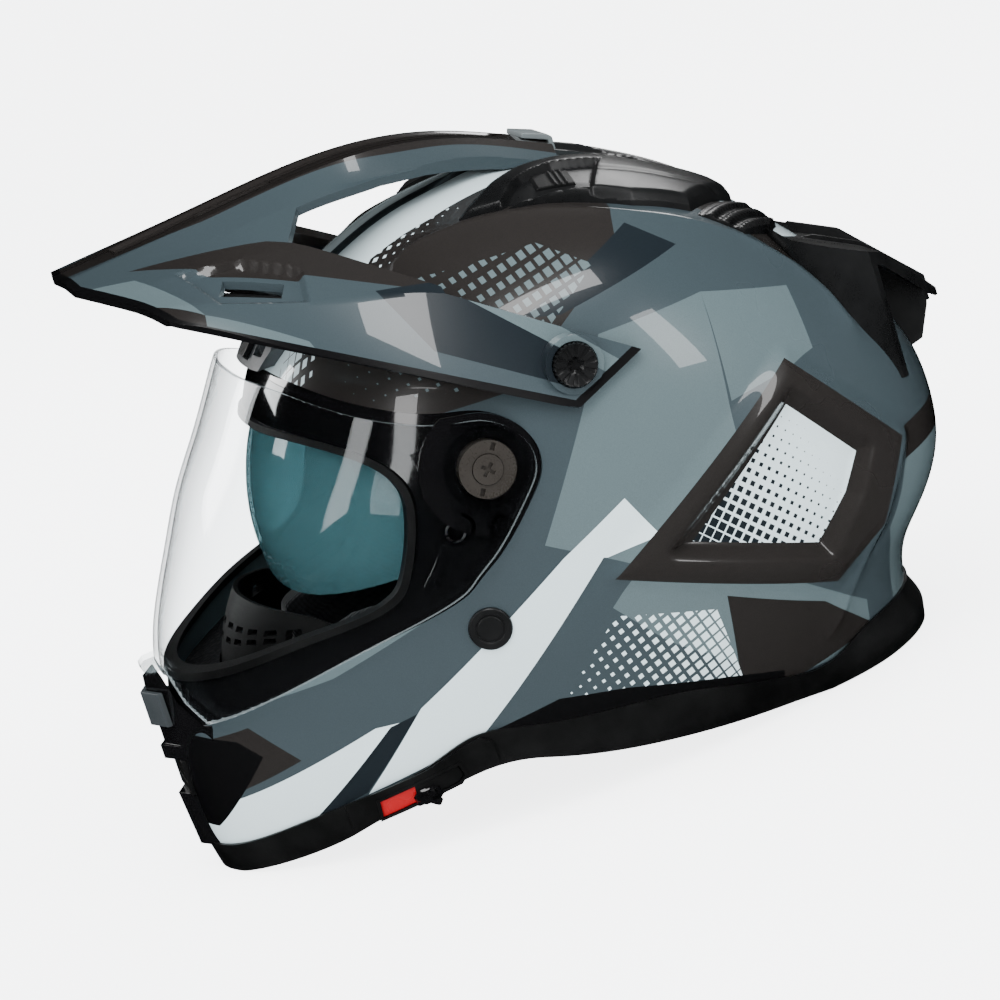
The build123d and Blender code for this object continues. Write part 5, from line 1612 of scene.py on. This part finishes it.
def soft_copy(name, node, voxel, shrink):
    """A copy of a plain lining solid as an even mesh, slightly smaller, with
    its edges rounded off."""
    src = NODES[node]
    me = src.data.copy()
    me.transform(src.matrix_world)
    o = link(name, me)
    m = o.modifiers.new("even", "REMESH")
    m.mode, m.voxel_size, m.adaptivity = "VOXEL", voxel * 0.001, 0.0
    apply_all(o)
    m = o.modifiers.new("soften", "SMOOTH")
    m.factor, m.iterations = 0.6, 4
    apply_all(o)
    set_coords(o, coords(o) - normals(o) * shrink)
    return o


def swell(pieces, pressure=4.0, frames=20):
    """One cloth run for all the pads: air pressure, no gravity."""
    was = {}
    for o, cap in pieces:
        was[o.name] = coords(o)
        m = o.modifiers.new("cloth", "CLOTH")
        s = m.settings
        s.quality = 4
        s.mass = 0.3
        s.tension_stiffness = s.compression_stiffness = 12.0
        s.shear_stiffness = 8.0
        s.bending_stiffness = 0.4
        s.use_pressure = True
        s.uniform_pressure_force = pressure
        s.effector_weights.gravity = 0.0
        m.point_cache.frame_start, m.point_cache.frame_end = 1, frames
    scene = bpy.context.scene
    for k in range(1, frames + 1):
        scene.frame_set(k)
    for o, cap in pieces:
        apply_all(o)
    scene.frame_set(1)
    for o, cap in pieces:
        now, old = coords(o), was[o.name]
        d = now - old
        ln = np.linalg.norm(d, axis=1, keepdims=True)
        d *= np.minimum(1.0, cap / np.maximum(ln, 1e-6))
        set_coords(o, old + d)


def refine(o):
    m = o.modifiers.new("fine", "SUBSURF")
    m.levels = m.render_levels = 1
    apply_all(o)


def sew(o, lines, depth, width, where=None):
    """Press sewn seams into a pad: lines are (y, z) runs seen from the side."""
    v, n = coords(o), normals(o)
    p = v[:, 1:3]
    sink = np.zeros(len(v))
    for line in lines:
        d, _ = to_lines(p, line)
        sink = np.maximum(sink, np.exp(-(d / width) ** 2))
    if where is not None:
        sink *= where(v, n)
    set_coords(o, v - n * (sink * depth)[:, None])


pads = [
    (soft_copy("cheek_pad_left_cushion", "cheek_pad_left", 4.0, 1.6), 3.2),
    (soft_copy("crown_liner_cushion", "crown_liner", 4.6, 0.6), 2.0),
    (soft_copy("neck_roll_cushion", "neck_roll", 4.6, 1.4), 4.5),
    (soft_copy("strap_pad_cushion", "strap_pad", 2.2, 0.5), 1.2),
]
swell(pads)
cheek, crown, roll, spad = [o for o, _ in pads]
for o in (cheek, crown, roll, spad):
    refine(o)
# the right cheek pad is the left one mirrored
me = cheek.data.copy()
me.transform(Matrix.Scale(-1, 4, Vector((1, 0, 0))))
me.flip_normals()
cheek_r = link("cheek_pad_right_cushion", me)

inner = lambda v, n: (n[:, 0] * np.sign(v[:, 0]) < 0.2).astype(float)
for o in (cheek, cheek_r):
    sew(o, [[(-112, 84), (-84, 92), (-60, 118), (-34, 122), (-20, 112)],
            [(-112, 84), (-108, 46), (-86, 26), (-50, 25), (-22, 30), (-20, 112)],
            [(-84, 92), (-62, 78), (-20, 72)]], 1.5, 1.7, inner)
    smooth(o, 60, False)
rib = [[(y, 150 if y < -60 else 125), (y * 0.97, 240)] for y in range(-90, 150, 34)]
sew(crown, rib, 1.6, 2.4, lambda v, n: (n[:, 2] * 0.0 + 1.0) *
    ((v[:, 0] * n[:, 0] + (v[:, 1] - 15) * n[:, 1] + (v[:, 2] - 120) * n[:, 2]) < 0))
smooth(crown, 60, False)
low = [[(-10, 22), (30, 12.5), (62, 10.5), (210, 11.5)]]
sew(roll, low, 1.2, 1.5)
smooth(roll, 60, False)
smooth(spad, 60, False)
dress(cheek, M_FABRIC, nodes=["cheek_pad_left"])
dress(cheek_r, M_FABRIC, nodes=["cheek_pad_right"])
dress(crown, M_MESH, nodes=["crown_liner"])
dress(roll, M_LEATHER, nodes=["neck_roll"])
dress(spad, M_FABRIC, nodes=["strap_pad"])

# ---- webbing: two bands with woven edges --------------------------------------
STRAP_LINE = [(84, 101), (83, 72), (79, 48), (75, 42.5), (58, 38.5), (52, 36), (46, 34.3),
              (30, 34.3)]
RATCHET_LINE = [(-84, 101), (-83, 72), (-79, 48), (-75, 42.5), (-58, 38.5), (-44, 31),
                (-36, 28.4), (-2, 28.4)]


def band_mesh(name, line, width, thick, mat, node):
    pts = smooth_line(line, 1.2, corners=())
    pts = np.array(pts, float)
    n = len(pts)
    t = np.gradient(pts, axis=0)
    t /= np.linalg.norm(t, axis=1, keepdims=True)
    side_ = np.stack([-t[:, 1], t[:, 0]], 1)
    h = thick / 2 - 0.12
    w = width / 2
    prof = [(-w, 0.0), (-w + 0.35, h * 0.8), (-w + 1.2, h * 0.75), (-w + 2.0, h), (w - 2.0, h),
            (w - 1.2, h * 0.75), (w - 0.35, h * 0.8), (w, 0.0), (w - 0.35, -h * 0.8),
            (w - 1.2, -h * 0.75), (w - 2.0, -h), (-w + 2.0, -h), (-w + 1.2, -h * 0.75),
            (-w + 0.35, -h * 0.8)]
    v, f, k = [], [], len(prof)
    for i in range(n):
        wave = 0.05 * math.sin(i * 1.9)
        for a, b in prof:
            q = pts[i] + side_[i] * (b + (wave if abs(b) > 0 else 0))
            v.append((q[0], PLUG_Y + a, q[1]))
    for i in range(n - 1):
        for j in range(k):
            m = (j + 1) % k
            f.append([i * k + j, i * k + m, (i + 1) * k + m, (i + 1) * k + j])
    f.append(list(range(k))[::-1])
    f.append([len(v) - k + j for j in range(k)])
    o = mesh_object(name, v, f)
    outwards(o)
    smooth(o, 50)
    dress(o, mat, nodes=[node])
    return o



band_mesh("chin_strap_left_webbing", STRAP_LINE, 24.0, 1.8, M_WEB, "chin_strap_left")
band_mesh("chin_strap_right_webbing", RATCHET_LINE, 24.0, 1.8, M_WEB, "chin_strap_right")


# ---------------------------------------------------------------------------
# Rear spoiler with added fins, then chin housing, clip, mount, switches, grille and buckle: the CAD
# form, the small pieces with rolled edges where these keep their volume
# ---------------------------------------------------------------------------
def moulded_copy(node, width, angle=30.0, segments=2):
    """A CAD piece's own mesh with its flat faces merged and its edges rolled."""
    src = NODES[node]
    me = src.data.copy()
    me.transform(src.matrix_world)
    o = link(node + "_skin", me)
    bm = bmesh.new()
    bm.from_mesh(me)
    bmesh.ops.remove_doubles(bm, verts=bm.verts, dist=2e-5)
    bmesh.ops.dissolve_limit(bm, angle_limit=math.radians(1.2), verts=bm.verts, edges=bm.edges)
    bm.to_mesh(me)
    bm.free()
    if width:
        bevel(o, width, angle, segments)
        apply_all(o)
    smooth(o, 32)
    return o


rear = moulded_copy("rear_spoiler", 0.0)
# a raised fin along the middle and a low rib over each pair of outlets
fin = prism([(139, 188.0), (146, 190.0), (167, 179.6), (199.6, 146.0), (199.9, 141.6),
             (165, 174.0), (140, 186)], "x", -2.6, 2.6)
for x in (-31.5, 31.5):
    more = prism([(140, 188.3), (146, 187.3), (166, 177.0), (184, 159.0), (184, 155), (165, 174.0),
                  (140, 186)], "x", x - 1.6, x + 1.6)
    cut(fin, more, "UNION")
cut(fin, hull_solid("inside", 0.4, 240, 170))
bevel(fin, 0.4, 40, 2)
apply_all(fin)
smooth(fin, 35)
dress(rear, M_SATIN, nodes=["rear_spoiler"])
dress(fin, M_SATIN, name="rear_spoiler_fins")


def volume(o):
    bm = bmesh.new()
    bm.from_mesh(o.data)
    out = abs(bm.calc_volume())
    bm.free()
    return out


for node, width, mat, body, slot_ in (
        ("chin_vent_housing", 0.6, M_GLOSS, "helmet", "black_gloss"),
        ("peak_clip", 0.5, M_CLIP, "peak_body", "clip_grey"),
        ("crown_mount", 0.4, M_SATIN, "helmet", "black_matte"),
        ("brow_vent_slider", 0.3, M_SATIN, "brow_slider_body", "black_matte"),
        ("chin_vent_slider", 0.4, M_GREY, "chin_slider_body", "vent_grey"),
        ("chin_vent_grille", 0.2, M_MATT, "helmet", "black_matte"),
        ("buckle_body", 0.3, M_STEEL, "helmet", "steel"),
        ("buckle_lever", 0.3, M_STEEL, "buckle_lever_body", "steel")):
    plain = moulded_copy(node, 0.0)
    was_ = volume(plain)
    drop(plain)
    piece = moulded_copy(node, width)
    if abs(volume(piece) / was_ - 1) > 0.08:
        print("keeps the plain form:", node)
        drop(piece)
        continue
    dress(piece, mat, body, nodes=[node])


# ---------------------------------------------------------------------------
# Studio: pale seamless floor, soft boxes, and the photograph's camera
# ---------------------------------------------------------------------------
def studio():
    n, size = 40, 30.0
    bm = bmesh.new()
    bmesh.ops.create_grid(bm, x_segments=n, y_segments=n, size=size)
    me = bpy.data.meshes.new("floor")
    bm.to_mesh(me)
    bm.free()
    floor = link("floor", me)
    floor.location = (0, 0, -0.0004)
    floor.visible_glossy = False
    t = Tree("floor_paint")
    t.base(t.mix(t.noise(1.2, 3.0, 0.5), (0.905, 0.91, 0.915), (0.93, 0.93, 0.93)))
    t.set(Roughness=0.85, Specular_IOR_Level=0.1)
    # a lit paper sweep: it glows towards the camera and adds no light elsewhere
    glow = t.t.nodes.new("ShaderNodeEmission")
    glow.inputs[0].default_value = (0.97, 0.985, 1.0, 1)
    ray = t.t.nodes.new("ShaderNodeLightPath")
    t.link(t.math("MULTIPLY", ray.outputs["Is Camera Ray"], 4.0), glow.inputs[1])
    both = t.t.nodes.new("ShaderNodeAddShader")
    t.link(t.bsdf.outputs[0], both.inputs[0])
    t.link(glow.outputs[0], both.inputs[1])
    t.link(both.outputs[0], t.out.inputs[0])
    me.materials.append(t.mat)

    def softbox(name, at, look, wide, high, glow):
        data = bpy.data.lights.new(name, "AREA")
        data.shape, data.size, data.size_y = "RECTANGLE", wide, high
        data.energy = glow * math.pi * wide * high
        o = bpy.data.objects.new(name, data)
        bpy.context.scene.collection.objects.link(o)
        o.location = at
        d = Vector(look) - Vector(at)
        o.rotation_euler = d.to_track_quat("-Z", "Y").to_euler()
        return o

    softbox("over", (0.75, 0.15, 1.35), (0.0, 0.0, 0.15), 0.9, 0.28, 8)
    softbox("side", (1.50, 1.15, 0.80), (0.0, 0.05, 0.14), 0.30, 0.9, 6.5)
    softbox("front", (0.95, -1.35, 0.75), (0.0, -0.05, 0.14), 0.32, 0.9, 6.5)
    softbox("back", (-1.0, 0.9, 1.1), (0.0, 0.05, 0.15), 0.5, 0.5, 8)
    softbox("far", (-1.3, -0.9, 0.7), (0.0, -0.05, 0.15), 0.4, 0.6, 8)
    data = bpy.data.lights.new("sky_light", "SUN")
    data.energy, data.angle = 3.9, math.radians(75)
    sky = bpy.data.objects.new("sky_light", data)
    bpy.context.scene.collection.objects.link(sky)
    sky.rotation_euler = Vector((-0.42, 0.22, -0.88)).to_track_quat("-Z", "Y").to_euler()
    sky.visible_glossy = False
    world = bpy.data.worlds.new("studio")
    bpy.context.scene.world = world
    world.use_nodes = True
    world.node_tree.nodes["Background"].inputs[0].default_value = (0.95, 0.975, 1.0, 1)
    world.node_tree.nodes["Background"].inputs[1].default_value = 1.1
    world.cycles_visibility.glossy = False


studio()
right = Vector((0.241922, 0.924877, -0.293388))
up = Vector((-0.168490, 0.337819, 0.926007))
ahead = Vector((-0.955555, 0.174588, -0.237558))
cam_data = bpy.data.cameras.new("camera")
cam = bpy.data.objects.new("camera", cam_data)
bpy.context.scene.collection.objects.link(cam)
turn = Matrix((right, up, -ahead)).transposed().to_4x4()
cam.matrix_world = Matrix.Translation(Vector((1.672221, -0.325030, 0.529727))) @ turn
cam_data.sensor_width = 36.0
cam_data.lens = 140.0
cam_data.clip_start, cam_data.clip_end = 0.05, 50.0
bpy.context.scene.camera = cam
